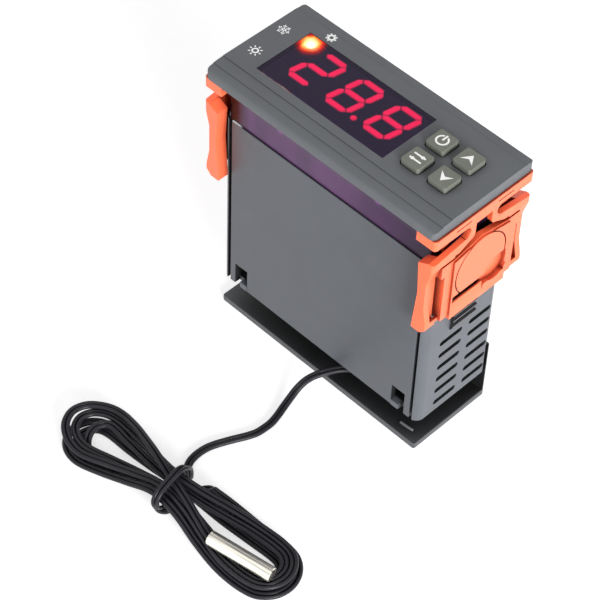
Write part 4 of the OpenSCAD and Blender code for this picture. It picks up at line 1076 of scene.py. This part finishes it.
class CONTROLLER_OT_boards(bpy.types.Operator):
    """Circuit boards, their link and the small parts on them"""

    bl_idname = "controller.boards"
    bl_label = "Boards"

    def execute(self, context):
        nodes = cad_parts
        # Glass-epoxy laminate under solder mask: green, glossy, cloudy where copper lies under it
        board = moulded("laminate_solder_masked", linear("#2F6B3A"), 0.35, 1.2, 0.01, 0.2, reach=6)
        for node in ("display_board", "main_board"):
            finished(nodes[node], board)
        # Reflowed solder: small bright cones under the display board
        solder = metal("solder_reflowed", linear("#C9CBCE"), 0.25, 0.4, (1, 1, 1))
        low, high = [Vector(corner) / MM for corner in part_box("display_board")]
        joint = lathed("joint", [(0, 0.85), (0.15, 0.7), (0.4, 0.4), (0.8, 0.3), (0.95, 0.1)], 12, solder,
                       (low.x + 6, 3.2, low.z), (0, 0, -1))
        fitted(repeated(joint, 14, (3.8, 0, 0)), "case")

        # Nylon header, moulded black, with square gilt pins
        nylon = moulded("nylon_header_moulded", linear("#1D1D1F"))
        gilt = metal("brass_pins_gilt", linear("#D8B25A"), 0.25, 0.3, (1, 1, 6))
        low, high = [Vector(corner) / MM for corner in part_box("board_link")]
        first = low.x + 1.31
        header = dressed("board_link", "link_header", nylon, 0.2,
                         keep=lambda p: abs(p.x) < 0.1 or abs(p.x) > 10)
        pin = dressed("board_link", "link_pins", gilt, 0.08, keep=lambda p: abs(p.x - first) < 0.4)
        fitted(header, "case", ("board_link",))
        fitted(repeated(pin, 8, (2.54, 0, 0)), "case", ("board_link",))

        # Printed PVC sleeves shrunk on: satin navy, with the crimp's groove near the board
        sleeve = moulded("pvc_sleeve_shrunk", linear("#26324F"), 0.3, 1.0, 0.01, reach=6)
        low, high = [Vector(corner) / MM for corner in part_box("capacitors")]
        radius, length = (high.z - low.z) / 2, high.y - low.y
        can = [(0, radius - 0.2), (0.2, radius), (1.5, radius), (1.9, radius - 0.3), (2.3, radius),
               (length - 0.5, radius), (length - 0.1, radius - 0.4), (length, radius - 0.8),
               (length - 0.2, radius - 1), (length - 0.2, 0.1)]
        can = lathed("capacitor_cans", can, 32, sleeve, (low.x + radius, low.y, (low.z + high.z) / 2),
                     (0, 1, 0))
        fitted(repeated(can, 2, (high.x - low.x - 2 * radius, 0, 0)), "case", ("capacitors",))

        # Moulded cases: glass-filled polyester on the relays, ABS on the buzzer, nylon on the switches
        relay = moulded("polyester_relays_moulded", linear("#2A62B8"), 0.3, 0.8, 0.01, reach=6)
        sounder = moulded("abs_buzzer_moulded", linear("#1D1D1F"))
        switch = moulded("nylon_switches_moulded", linear("#3A3A3C"))
        for node, name, material, slot, soft in (
                ("relay_cooling", "relay_case_cooling", relay, "relay_blue", 0.5),
                ("relay_heating", "relay_case_heating", relay, "relay_blue", 0.5),
                ("buzzer", "buzzer_can", sounder, "black", 0.4),
                ("switch_bodies", "switch_cases", switch, "black", 0.25)):
            fitted(dressed(node, name, material, soft), "case", (node,))
        return {"FINISHED"}


class CONTROLLER_OT_transformer(bpy.types.Operator):
    """Laminated core and taped winding"""

    bl_idname = "controller.transformer"
    bl_label = "Transformer"

    def execute(self, context):
        # Silicon steel, stamped and stacked: grey sheets with dark lines between them
        steel = metal("steel_sheets_stamped", linear("#8F9196"), 0.42, 0.5, (1, 8, 1))
        low, high = [Vector(corner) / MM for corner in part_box("transformer_core")]
        leg, opening, yoke, thickness, pitch = 8, 4.7, 4.5, 0.43, 0.5
        side = (high.x - low.x - leg - 2 * opening) / 2
        columns = [0, side, side + opening, side + opening + leg, side + 2 * opening + leg, high.x - low.x]
        rows = [0, yoke, high.z - low.z - yoke, high.z - low.z]
        plate = sheet("core_sheets", columns, rows, ((1, 1), (3, 1)), thickness, steel)
        core = repeated(plate, int((high.y - low.y) / pitch), (0, pitch, 0), at=low)
        fitted(core, "case", ("transformer_core",))
        # Polyester tape round the winding: glossy yellow-brown, a little uneven over the turns
        tape = moulded("polyester_tape_wound", linear("#B8862F"), 0.28, 1.5, 0.03, 0.12, reach=6)
        coil = dressed("transformer_coil", "coil_taped", tape, 0.3)
        fitted(coil, "case", ("transformer_coil",))
        return {"FINISHED"}


class CONTROLLER_OT_terminals(bpy.types.Operator):
    """Terminal block with its screws and clamps"""

    bl_idname = "controller.terminals"
    bl_label = "Terminals"

    def execute(self, context):
        low, high = [Vector(corner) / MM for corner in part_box("terminal_screws")]
        pitch = (high.x - low.x - (high.y - low.y)) / (POLES - 1)
        # Polyamide, moulded in one block: green and satin
        polyamide = moulded("polyamide_block_moulded", linear("#2F7A46"), 0.45, 0.6, 0.015, reach=5)
        fitted(dressed("terminal_block", "terminal_block_body", polyamide, 0.25), "case",
               ("terminal_block",))
        # Zinc-plated steel screws and stamped brass clamps, one of each pole
        zinc = metal("steel_screws_zinc_plated", linear("#B9BCC0"), 0.3, 0.4, (1, 1, 4))
        brass = metal("brass_clamps_stamped", linear("#C9A24A"), 0.3, 0.4, (1, 1, 6))
        for node, name, material, slot in (("terminal_screws", "pole_screws", zinc, "screw_steel"),
                                           ("terminal_clamps", "pole_clamps", brass, "brass")):
            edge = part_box(node)[0][0] / MM + pitch / 2 + 1
            one = dressed(node, name, material, 0.12, keep=lambda p, edge=edge: p.x < edge)
            fitted(repeated(one, POLES, (pitch, 0, 0)), "case", (node,))
        return {"FINISHED"}


class CONTROLLER_PT_panel(bpy.types.Panel):
    """Lists the controller's pieces"""

    bl_idname = "CONTROLLER_PT_panel"
    bl_label = "Temperature Controller"
    bl_space_type = "VIEW_3D"
    bl_region_type = "UI"
    bl_category = "Controller"

    def draw(self, context):
        for name in ControllerLooks.__annotations__:
            self.layout.prop(context.scene.controller_looks, name)
        for step in STEPS:
            self.layout.operator(step.bl_idname)


STEPS = (CONTROLLER_OT_stage, CONTROLLER_OT_cord, CONTROLLER_OT_front, CONTROLLER_OT_display,
         CONTROLLER_OT_keys, CONTROLLER_OT_shell, CONTROLLER_OT_clips, CONTROLLER_OT_boards,
         CONTROLLER_OT_transformer, CONTROLLER_OT_terminals)
CLASSES = (ControllerLooks, *STEPS, CONTROLLER_PT_panel)


def register():
    """Registers the add-on's classes and its properties."""
    for item in CLASSES:
        bpy.utils.register_class(item)
    bpy.types.Scene.controller_looks = PointerProperty(type=ControllerLooks)


def unregister():
    """Removes what register() added."""
    del bpy.types.Scene.controller_looks
    for item in reversed(CLASSES):
        bpy.utils.unregister_class(item)


def main():
    """Makes every piece."""
    register()
    for step in STEPS:
        group, name = step.bl_idname.split(".")
        getattr(getattr(bpy.ops, group), name)()


if __name__ == "__main__":
    main()
